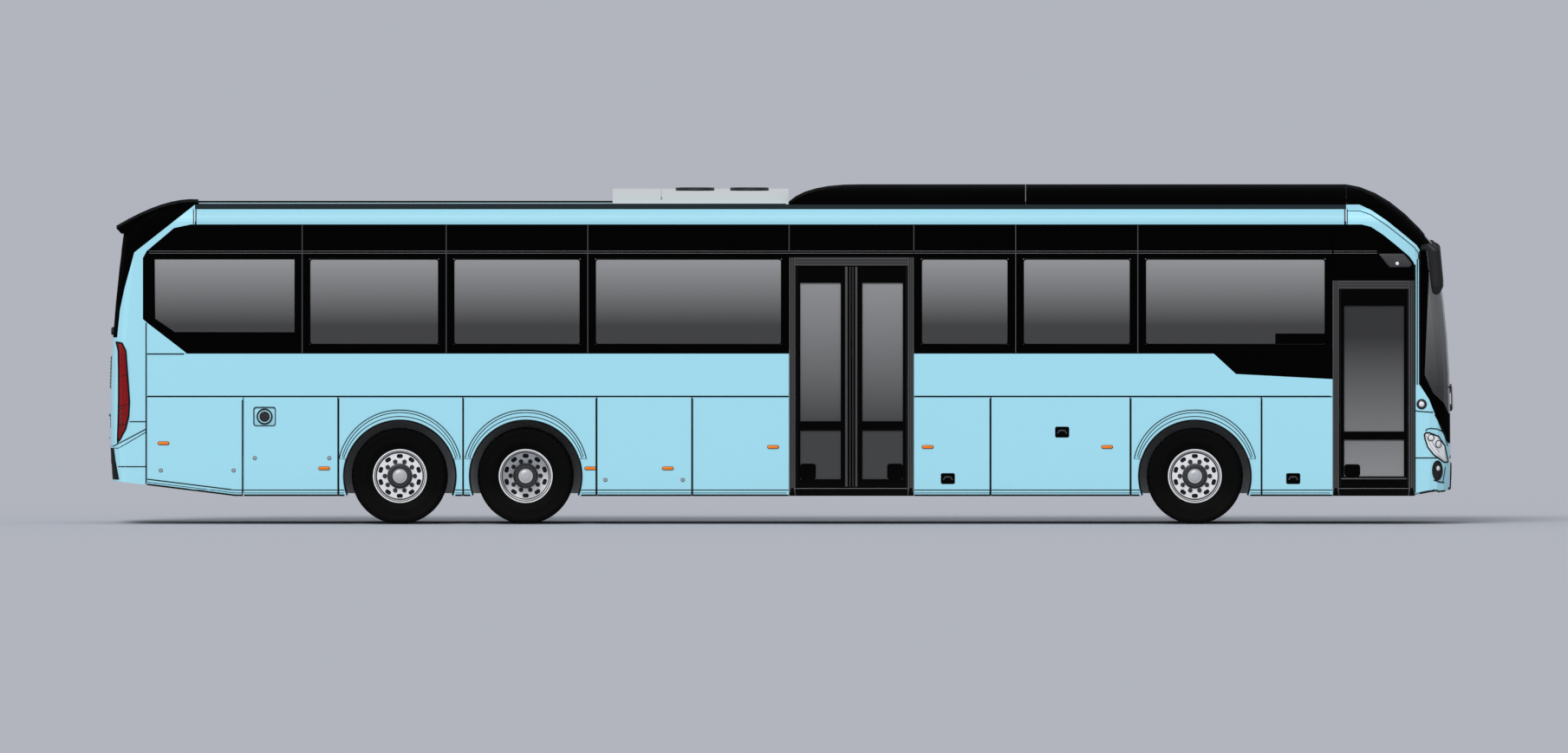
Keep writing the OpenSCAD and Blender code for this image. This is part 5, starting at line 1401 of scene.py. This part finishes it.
# %% [markdown]
# ## Door portals
# The frame round a doorway is an extruded section, with two reeds along each post and under its head, a
# black step edge below and a bright sill line. The step edge is part of the solid, so its faces turn
# black; the reeds are thin rods, because cut grooves of this width would be lost in the solid's faces.

# %% Black step edges
step_edge = nodes["door_portals"].data
step_edge.materials.append(leaf_black)
for face in step_edge.polygons:
    if max(step_edge.vertices[i].co.z for i in face.vertices) < LEAF_FOOT:
        face.material_index = 1
print(sum(f.material_index for f in step_edge.polygons), "faces of the step edges are black")

# %% Portal reeds and sills
POST, HEAD = 0.068, 0.090
REED_R, REED_IN, SILL_R, SILL_DOWN = 0.0036, 0.003, 0.004, 0.012
DOOR_X, FILLET_R = 6.165, 0.009
skins = Skins()
for x0, x1, top in ((0.096, 1.488, 2.980), (DOOR_X, 7.080, 2.721)):
    for k in (1, 2):
        for x in (x0 + k * POST / 3, x1 - POST + k * POST / 3):
            rod(skins, [(x, REED_IN - HALF_W, z) for z in (LEAF_FOOT, top - 0.004)], REED_R, 0, 8)
        z = top - k * HEAD / 3
        rod(skins, [(x, REED_IN - HALF_W, z) for x in (x0 + POST + 0.002, x1 - POST - 0.002)], REED_R, 0, 8)
    rod(skins, [(x, -HALF_W - TRIM_OUT, LEAF_FOOT - SILL_DOWN) for x in (x0 + POST, x1 - POST)], SILL_R, 1, 8)
for y, foot in ((-HALF_W, 2.728), (HALF_W, HEADER + 0.02)):
    rod(skins, [(DOOR_X, y, foot), (DOOR_X, y, COVE - 0.004)], FILLET_R, 2, 8)
piece("portal_reeds", skins, [rubber_black, trim_grey, band_black], "coach")
print("reeds", round(POST / 3 * 1000, 1), "mm apart")

# %% [markdown]
# ## Rubber along the wall
# Seen from the side, a shut line is twice as wide as the gap, because the rubber lip beside it is black
# too. The lips stand on the fixed panel beside each gap, and on the flap where two flaps meet. They are
# beads dropped onto the wall, since the wall tucks in towards its foot.

# %% Lips along the shut lines
LIP_END, THIN_LIP, WIDE_LIP = 0.012, 0.006, 0.008
walls = skin_tree("skirt_panels", "waist_panels", "door_flap_tail", "door_flap_charge", "door_flap_rear_bay",
                  "door_flap_front_bay", "left_flap_rear_bay")
lips = [(-4.931, THIN_LIP), (-3.5475, WIDE_LIP), (-2.060, THIN_LIP), (-0.981, THIN_LIP), (2.338, THIN_LIP),
        (3.913, THIN_LIP), (5.366, WIDE_LIP)]
belt_runs = {-1: [(-7.070, 0.090), (1.494, 6.160)], 1: [(-7.070, 7.070)]}


def upright_lip(skins, side_name, x, r, end=LIP_END):
    bead(skins, walls, side_name, [(x, SKIRT + LIP_END), (x, BELT - end)], r, lift=0.0)


def level_lip(skins, side_name, x0, x1, z):
    bead(skins, walls, side_name, [(x0, z), (x1, z)], THIN_LIP, lift=0.0)


for side_name, side in SIDES.items():
    skins = Skins()
    for x, r in lips + ([(-5.996, WIDE_LIP)] if side > 0 else []):
        upright_lip(skins, side_name, x, r)
    for x0, x1 in belt_runs[side]:
        level_lip(skins, side_name, x0, x1, BELT + 0.011)
    level_lip(skins, side_name, -7.070, -6.660, BAND - 0.010)
    piece(f"wall_lips_{side_name}", skins, [rubber_black], "coach")
print(len(lips), "lips a side")

# %% Lip on the tail flap
TAIL_LIP_END = 0.030
skins = Skins()
upright_lip(skins, "right", -6.009, THIN_LIP, TAIL_LIP_END)
piece("tail_flap_lip", skins, [rubber_black], "tail_flap")
print("tail flap's lip ends", round(TAIL_LIP_END * 1000), "mm below the belt")

# %% [markdown]
# ## Foot of the wall
# Along the foot of the wall run a thin moulding, a crease and the edge rubber. One long bead would be
# simpler, but where a flap carries them they have to swing up with it, so the lines are cut into runs,
# and the runs gathered by the body that they ride on.

# %% Foot of the wall
TAIL_END, RISE_X, RISE_SLOPE = -7.070, -6.088, 0.172 / 1.388
foot_runs = [(-5.991, -4.949, "charge_flap"), (-4.936, -4.870, "coach"), (-3.630, -3.556, "coach"),
             (-3.540, -3.465, "coach"), (-2.225, -2.055, "coach"), (-2.042, -0.999, "rear_bay_flap"),
             (-0.986, 0.090, "coach"), (1.494, 2.343, "coach"), (2.356, 3.895, "front_bay_flap"),
             (3.908, 4.005, "coach"), (5.245, 5.359, "coach"), (5.373, 6.159, "coach")]
left_runs = [(0.102, 1.482, "coach"), (6.171, 7.070, "coach")]
tail_run = [(TAIL_END, SKIRT + RISE_SLOPE * (RISE_X - TAIL_END)), (RISE_X, SKIRT), (-6.002, SKIRT)]
foot_lines = ((0.066, 0.0065), (0.034, 0.0035), (0.008, 0.010))
for side_name, side in SIDES.items():
    by_body = {}
    for x0, x1, body in foot_runs + (left_runs if side > 0 else []):
        if side > 0:
            body = "left_bay_flap" if body == "rear_bay_flap" else "coach"
        by_body.setdefault(body, []).append([(x0, SKIRT), (x1, SKIRT)])
    by_body.setdefault("coach" if side > 0 else "tail_flap", []).append(tail_run)
    for body, runs in by_body.items():
        skins = Skins()
        for run in runs:
            for up, r in foot_lines:
                bead(skins, walls, side_name, [(x, z + up) for x, z in run], r, lift=0.0)
        piece(f"wall_foot_{body}_{side_name}", skins, [rubber_black], body)
print(len(foot_runs) + 1, "runs along the foot")

# %% [markdown]
# ## Camera pod and window corner
# Over the front door sits a flat housing with a small round lamp. At the lower front corner of the
# foremost window the glass is blacked out from behind. Both are plates on the wall: the housing a thick one
# with a drawn-in edge, the corner a film a millimetre thin.

# %% Camera pods
POD = (6.86, 2.94)
pod = [(6.798, 2.869), (7.020, 2.869), (7.048, 2.895), (7.040, 2.925), (6.985, 2.990), (6.950, 3.022),
       (6.685, 3.022), (6.700, 2.985)]
pod_outline = [(x - POD[0], z - POD[1]) for x, z in pod]
pod_layers = [(0, -0.002), (0, 0.012), (0.006, 0.024), (0.016, 0.030)]
for side_name, side in SIDES.items():
    skins = Skins()
    wall_plate(skins, pod_outline, POD, pod_layers, 0, side)
    at = (6.885, side * HALF_W, 2.912)
    turned(skins, [(0.027, 0.02), (0.027, 0.034), (0.023, 0.037), (0.019, 0.033)], at, 1, side, 28)
    turned(skins, [(0.019, 0.02), (0.019, 0.033), (0.012, 0.037), (0.003, 0.038)], at, 2, side, 28)
    piece(f"camera_pod_{side_name}", skins, [portal_grey, trim_grey, clear_lens], "coach")
print("pods stand", pod_layers[-1][1] * 1000, "mm proud")

# %% Blacked-out window corners
CORNER_AT = (5.803, 2.069)
corner_layers = [(0, -0.001), (0.0004, 0.0010), (0.002, 0.0012)]
for side_name, side in SIDES.items():
    skins = Skins()
    wall_plate(skins, rounded_rect(0.562, 0.124, 0.006), CORNER_AT, corner_layers, 0, side)
    piece(f"window_corner_{side_name}", skins, [band_black], "coach")
print("window corners at", CORNER_AT)

# %% [markdown]
# ## Arches
# A rubber lip runs round each wheel arch, and fine lines round its raised flare. A torus cut in half would
# do for one of them, but their centres and ends differ, so each is a rod along its own arc.

# %% Arch lips and flare beads
FLARE_R, FLARE_Z, ARCH_R = 0.690, 0.582, 0.628
ARC_STEPS = 48
# Each arc is (radius, height of its centre, angle of its ends, distance out, thickness)
arcs = ((FLARE_R, FLARE_Z, 12.8, 0.002, 0.009), (FLARE_R - 0.026, FLARE_Z + 0.002, 14.5, 0.009, 0.005),
        (ARCH_R + 0.026, AXLE_Z + 0.012, 16.5, 0.009, 0.005), (ARCH_R - 0.003, AXLE_Z, -20.0, 0.004, 0.010))
for axle_name, x in AXLES.items():
    for side_name, side in SIDES.items():
        skins = Skins()
        for r, z, low, out, thick in arcs:
            turns = [math.radians(low + (180 - 2 * low) * k / ARC_STEPS) for k in range(ARC_STEPS + 1)]
            rod(skins, [(x + r * math.cos(t), side * (HALF_W + out), z + r * math.sin(t)) for t in turns],
                thick, 0, 8)
        piece(f"{axle_name}_arch_lip_{side_name}", skins, [rubber_black], "coach")
print(len(arcs), "arcs at each of", len(AXLES) * 2, "arches")

# %% [markdown]
# ## Roof edge
# The blue cove along the roof is made in lengths, and a dark rib closes each joint. Above it the roof's
# rim is dark rubber. The ribs are rods bent to the cove's lean; the rim is in the solid, so its steep
# faces are only given another finish.

# %% Cove ribs and roof rim
COVE_LEAN, GUTTER = 0.075, 3.517
RIB_STEPS, RIB_R, STEEP = 8, 0.0055, 0.2
for side_name, side in SIDES.items():
    skins = Skins()
    for x in (-6.537, 6.314):
        for shift in (-0.016, 0.012):
            shares = [k / RIB_STEPS for k in range(RIB_STEPS + 1)]
            rod(skins, [(x + shift, side * (HALF_W - COVE_LEAN * t ** 2 - 0.001), COVE + (GUTTER - COVE) * t)
                        for t in shares], RIB_R, 0, 8)
    piece(f"cove_ribs_{side_name}", skins, [rubber_black], "coach")
roof = nodes["roof_panel"].data
roof.materials.append(gutter_dark)
for face in roof.polygons:
    if abs(face.normal.y) > STEEP:
        face.material_index = 1
print(sum(f.material_index for f in roof.polygons), "faces of the roof's rim are dark")

# %% [markdown]
# ## Roof drip rails
# Behind the fairing a low rubber rail keeps rain from running down the windows. A straight rod might hang
# over the crowned roof or sink into it, so each of its points is found by a ray from above.

# %% Roof drip rails
RAIL_Y, RAIL_RUN, RAIL_STEPS = 1.120, (-6.50, 0.06), 24
DRIP_R, DRIP_UP, SKY_Z = 0.018, 0.006, 5.0
roof_tree = skin_tree("roof_panel")
for side_name, side in SIDES.items():
    skins = Skins()
    path = []
    for k in range(RAIL_STEPS + 1):
        x = RAIL_RUN[0] + (RAIL_RUN[1] - RAIL_RUN[0]) * k / RAIL_STEPS
        top = roof_tree.ray_cast(Vector((x, side * RAIL_Y, SKY_Z)), Vector((0, 0, -1)))[0].z
        path.append((x, side * RAIL_Y, top + DRIP_UP))
    rod(skins, path, DRIP_R, 0, 12)
    piece(f"roof_rail_{side_name}", skins, [rubber_black], "coach")
print("roof rails at", round(path[0][2], 4), "crown", round(max(v.co.z for v in roof.vertices), 4))

# %% [markdown]
# ## Roof fans
# The cooler on the roof draws air through six wells. Each gets a fan with seven pitched blades and a
# guard of rings and spokes, whose black rims show as dashes above the white housing in side view. One
# fan could be copied six times, but all of them together are one piece, which is lighter to handle.

# %% Upright parts and hoops
hoop_ring = ((1, 0), (0.5, 0.87), (-0.5, 0.87), (-1, 0), (-0.5, -0.87), (0.5, -0.87))


def upright(skins, profile, at, finish=0, n=36):
    skins.loft([[(at[0] + r * c, at[1] + r * s, z) for c, s in circle(n)] for r, z in profile], finish)


def hoop(skins, at, r, z, thick, finish=0, n=36):
    skins.loft([[(at[0] + (r + thick * u) * c, at[1] + (r + thick * u) * s, z + thick * w) for u, w in hoop_ring]
                for c, s in circle(n)], finish, around=True)


print("hoops of", len(hoop_ring), "sides")

# %% Fan hubs and blades
FAN_R, FAN_FOOT, UNIT_TOP, BLADES = 0.200, 3.680, 3.717, 7
BLADE_TWIST, BLADE_THICK, BLADE_UP = 2.0, 0.003, 0.010
blade_steps = ((0.050, 0.16, 0.010), (0.110, 0.26, 0.013), (0.186, 0.32, 0.015))
fan_hub = [(0.055, -0.003), (0.055, 0.018), (0.045, 0.026), (0.012, 0.028)]
FAN_PLACES = [(x, y) for x in (-0.955, -0.347) for y in (-0.6, 0.0, 0.6)]


def fan_blade(skins, at, blade):
    loops = []
    for r, wide, lift in blade_steps:
        turn = 2 * math.pi * blade / BLADES + r * BLADE_TWIST
        over = [(at[0] + r * math.cos(turn + a), at[1] + r * math.sin(turn + a), FAN_FOOT + BLADE_UP + lift * t)
                for a, t in ((-wide, -0.6), (0.0, 0.1), (wide, 0.8))]
        loops.append(over + [(x, y, z - BLADE_THICK) for x, y, z in reversed(over)])
    skins.loft(loops, 1)


fans = Skins()
for at in FAN_PLACES:
    upright(fans, [(r, FAN_FOOT + up) for r, up in fan_hub], at, 0)
    for blade in range(BLADES):
        fan_blade(fans, at, blade)
print(len(FAN_PLACES), "fans of", BLADES, "blades")

# %% Fan guards
RIM_HOOP = (0.205, 0.006, 0.012)
guard_hoops = [RIM_HOOP] + [(r, 0.002, 0.003) for r in (0.165, 0.125, 0.085, 0.045)]
SPOKES, SPOKE_R, SPOKE_FOOT, SPOKE_UP = 6, 0.004, 0.02, 0.003
for at in FAN_PLACES:
    for r, up, thick in guard_hoops:
        hoop(fans, at, r, UNIT_TOP + up, thick, 0)
    for c, s in circle(SPOKES):
        rod(fans, [(at[0] + r * c, at[1] + r * s, UNIT_TOP + SPOKE_UP) for r in (SPOKE_FOOT, FAN_R)], SPOKE_R, 0, 6)
piece("roof_fans", fans, [plastic_black, hub_dark], "coach")
print("guards of", len(guard_hoops), "hoops and", SPOKES, "spokes")

# %% [markdown]
# ## Mirrors
# The mirror heads hang from arms at the brow. Their backs are the solid; the glass, with a wide-angle
# pane below it, lies on the side that faces the driver. It is a smooth metal rather than glass over
# silver, which looks the same and renders faster.

# %% Mirror glass
MIRROR_IN, GLASS_RIM, PANE_IN = 1.366, 0.006, 0.995
mirror_skin = skin_tree("mirrors")
mirror_silver = finish_of("mirror_silver", (0.62, 0.64, 0.67), (0.55, 0.57, 0.60), 0.06, metal=1.0,
                          grain=(200, 0.0))
for side_name, side in SIDES.items():
    skins = Skins()
    edge = [side * (MIRROR_IN + 0.122 * k / 6) for k in range(7)]
    pane = [y * PANE_IN for y in edge[1:-1]]
    for low, high in ((2.840, 3.060), (2.640, 2.820)):
        patch(skins, mirror_skin, "behind", level(edge, low - GLASS_RIM), level(edge, high + GLASS_RIM), 0.003, 0, 8)
        patch(skins, mirror_skin, "behind", level(pane, low), level(pane, high), 0.005, 1, 8)
    piece(f"mirror_glass_{side_name}", skins, [plastic_black, mirror_silver], "coach")
print("two panes in each mirror")

# %% [markdown]
# ## Seats
# A coach seat is a foam pad in a woven cover on a moulded shell. A block would look hard, so each pad
# starts as a rounded block a little too small, is meshed evenly by a voxel remesh, and is then blown up
# as cloth under pressure; its corners stay back and its faces crown, as foam does in a sewn cover. One
# cushion and one back are enough: all seats share them.

# %% A pad meshed evenly
PAD_VOXEL = 0.020


def evaluated(obj):
    return obj.evaluated_get(bpy.context.evaluated_depsgraph_get())


def even_pad(name, loops):
    form = Skins()
    form.loft(loops)
    raw = bpy.data.meshes.new(name)
    raw.from_pydata(form.verts, [], form.faces)
    obj = bpy.data.objects.new(name, raw)
    bpy.context.scene.collection.objects.link(obj)
    grid = obj.modifiers.new("even", "REMESH")
    grid.mode = "VOXEL"
    grid.voxel_size = PAD_VOXEL
    obj.data = bpy.data.meshes.new_from_object(evaluated(obj))
    obj.modifiers.clear()
    return obj


print("pads in voxels of", PAD_VOXEL * 1000, "mm")

# %% Pads blown up as cloth
PAD_SWELL, PAD_FRAMES, PAD_PRESSURE = 0.014, 14, 4.0
NO_MOVE = 1e-6


def capped(a, b):
    move = b - a
    return a + move * min(1.0, PAD_SWELL / max(move.length, NO_MOVE))


def blown_pad(name, loops):
    obj = even_pad(name, loops)
    start = [v.co.copy() for v in obj.data.vertices]
    cloth = obj.modifiers.new("cover", "CLOTH")
    cloth.settings.use_pressure = True
    cloth.settings.uniform_pressure_force = PAD_PRESSURE
    cloth.settings.effector_weights.gravity = 0
    cloth.point_cache.frame_end = PAD_FRAMES
    for number in range(1, PAD_FRAMES + 1):
        bpy.context.scene.frame_set(number)
    swollen = [v.co.copy() for v in evaluated(obj).data.vertices]
    faces = [tuple(f.vertices) for f in obj.data.polygons]
    bpy.data.objects.remove(obj)
    bpy.context.scene.frame_set(1)
    return [capped(a, b) for a, b in zip(start, swollen)], faces


print("pads swell by", PAD_SWELL * 1000, "mm at most")

# %% [markdown]
# ## Cushion and back
# The cushion is nearly square, and its sides pull in between the corners where the cover is stretched. The
# back leans and narrows to a headrest. Both are stacks of rings: the cushion's lie level, the back's
# stand along its lean.

# %% Cushion of one seat
CUSHION_X, CUSHION_CORNER, WAIST = 0.265, 0.05, 0.008


def pad_outline(wide, deep, r):
    """A rounded rectangle whose long sides pull in between the corners."""
    out = []
    for u, v in rounded_rect(wide, deep, r, 6):
        pull = WAIST * (1 - (2 * v / deep) ** 2) if abs(u) > wide / 2 - r else 0.0
        out.append((u - math.copysign(pull, u), v))
    return out


cushion_ring = pad_outline(0.415, 0.330, CUSHION_CORNER)
cushion_layers = ((0.020, 0.398), (0.004, 0.408), (0.0, 0.430), (0.006, 0.456), (0.024, 0.470))
cushion_pad = blown_pad("cushion", [[(CUSHION_X + v, u, z) for u, v in inset(cushion_ring, d)]
                                    for d, z in cushion_layers])
print("cushion of", len(cushion_pad[1]), "faces")

# %% Back of one seat
BACK_FOOT, BACK_UP = Vector((0.072, 0, 0.482)), Vector((-0.2318, 0, 0.9728))
BACK_OUT = Vector((0.9728, 0, 0.2318))
back_half = [(0.195, 0.03), (0.204, 0.12), (0.205, 0.30), (0.200, 0.42), (0.172, 0.48), (0.140, 0.53),
             (0.132, 0.58), (0.105, 0.618), (0.055, 0.630)]
back_ring = back_half + [(-u, s) for u, s in reversed(back_half)]
back_layers = ((0.018, -0.058), (0.002, -0.050), (0.0, -0.036), (0.006, -0.022), (0.024, -0.014))
back_pad = blown_pad("back", [[tuple(BACK_FOOT + BACK_UP * s + BACK_OUT * t + Vector((0, u, 0)))
                               for u, s in inset(back_ring, d)] for d, t in back_layers])
print("back of", len(back_pad[1]), "faces")

# %% [markdown]
# ## Sewn channels
# The cover is quilted: rows of stitches pull it into the foam. The remesh would wipe out so fine a form,
# so the channels are pressed in after it, and only on the side that faces the sitter.

# %% Sewn channels
CHANNEL, CHANNEL_W = 0.0045, 0.016
stitch_rows = (-0.12, -0.04, 0.04, 0.12)


def channelled(pad, facing):
    verts, faces = pad
    lean = [Vector() for _ in verts]
    for f in faces:
        a, b, c = (verts[i] for i in f[:3])
        for i in f:
            lean[i] += (b - a).cross(c - a)
    out = []
    for p, n in zip(verts, lean):
        press = max(0.0, n.normalized().dot(facing)) if n.length else 0.0
        depth = sum(math.exp(-((p.y - y) / CHANNEL_W) ** 2) for y in stitch_rows) * CHANNEL * press
        out.append(p - facing * depth)
    return out, faces


cushion_pad = channelled(cushion_pad, Vector((0, 0, 1)))
back_pad = channelled(back_pad, BACK_OUT)
print(len(stitch_rows), "channels", round(CHANNEL * 1000, 1), "mm deep")

# %% [markdown]
# ## Rows of seats
# Seats stand in pairs on both sides of the aisle, with a gap for the middle door, and the driver has a
# single one. Every seat could be its own mesh, but all pairs use one and are only placed anew, so 27 pairs
# cost the memory of one.

# %% Places of the benches
FLOOR, PITCH = 1.350, 0.830
BENCH_Y, SEAT_HALF = 0.715, 0.2275
pair, alone = (-SEAT_HALF, SEAT_HALF), (0.0,)
rows_behind = [-6.577 + PITCH * k for k in range(8)]
rows_ahead = [1.748 + PITCH * k for k in range(5)]
benches = [(x, side * BENCH_Y, pair) for side in SIDES.values() for x in rows_behind + rows_ahead]
benches += [(0.542, BENCH_Y, pair), (6.345, 0.795, alone)]
print(sum(len(places) for _, _, places in benches), "seats")

# %% Mesh of a bench


def bench_mesh(name, places):
    verts, faces = [], []
    for y in places:
        for pad_verts, pad_faces in (cushion_pad, back_pad):
            base = len(verts)
            verts += [v + Vector((0, y, 0)) for v in pad_verts]
            faces += [tuple(base + i for i in f) for f in pad_faces]
    mesh = bpy.data.meshes.new(name)
    mesh.from_pydata(verts, [], faces)
    mesh.materials.append(seat_cloth)
    mesh.polygons.foreach_set("use_smooth", [True] * len(mesh.polygons))
    return mesh


bench_meshes = {pair: bench_mesh("double_seat_pads", pair), alone: bench_mesh("driver_seat_pads", alone)}
print("a pair has", len(bench_meshes[pair].polygons), "faces")

# %% Seat pads in their rows
for number, (x, y, places) in enumerate(benches, 1):
    obj = bpy.data.objects.new(f"seat_pads_{number:02d}", bench_meshes[places])
    bpy.context.scene.collection.objects.link(obj)
    obj.location = (x, y, FLOOR)
    bpy.context.view_layer.update()
    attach(obj, "coach")
    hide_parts("seats")
print(len(benches), "benches padded")

# %% [markdown]
# ## Seat shells and legs
# Behind each back is a thin moulded shell, below each cushion a pan, beside the aisle an armrest, and a
# pair of pressed legs stands on the floor. A seat is the same all across its width, so each part is a loft
# of its side view, with the edges drawn in a little.

# %% Side views of the frame parts
back_shell = [(-0.004, 0.384), (0.030, 0.384), (0.036, 0.470), (-0.108, 1.090), (-0.130, 1.128), (-0.148, 1.080)]
pan = [(0.080, 0.384), (0.428, 0.384), (0.440, 0.404), (0.086, 0.404)]
leg_side = [(0.110, 0.010), (0.370, 0.010), (0.370, 0.026), (0.290, 0.050), (0.275, 0.384), (0.205, 0.384),
            (0.190, 0.050), (0.110, 0.026)]
armrest = ((-0.030, 0.62), (0.06, 0.655), (0.30, 0.650), (0.325, 0.635))


def slab(skins, outline, x, y, half, finish, edge):
    skins.loft([[(x + u, y + out, FLOOR + v) for u, v in inset(outline, d)]
                for d, out in ((edge, -half), (0, edge - half), (0, half - edge), (edge, half))], finish)


print("shells rise to", max(z for _, z in back_shell), "m above the floor")

# %% Seat shells and legs
SHELL_HALF, PAN_HALF, LEG_HALF = 0.205, 0.200, 0.018
SHELL_EDGE, THIN_EDGE = 0.006, 0.004
LEG_OUT, ARM_OUT, ARM_R = 0.14, 0.228, 0.018
skins = Skins()
for x, y, places in benches:
    for shift in places:
        slab(skins, back_shell, x, y + shift, SHELL_HALF, 0, SHELL_EDGE)
        slab(skins, pan, x, y + shift, PAN_HALF, 0, THIN_EDGE)
    for foot in (-max(places) - LEG_OUT, max(places) + LEG_OUT):
        slab(skins, leg_side, x, y + foot, LEG_HALF, 1, THIN_EDGE)
    aisle = y - math.copysign(max(places) + ARM_OUT, y)
    rod(skins, [(x + ahead, aisle, FLOOR + up) for ahead, up in armrest], ARM_R, 2, 10)
seat_frames = piece("seat_frames", skins, [plastic_black, trim_grey, rubber_black], "coach")
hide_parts("seats")
print("shells and legs:", len(skins.faces), "faces")
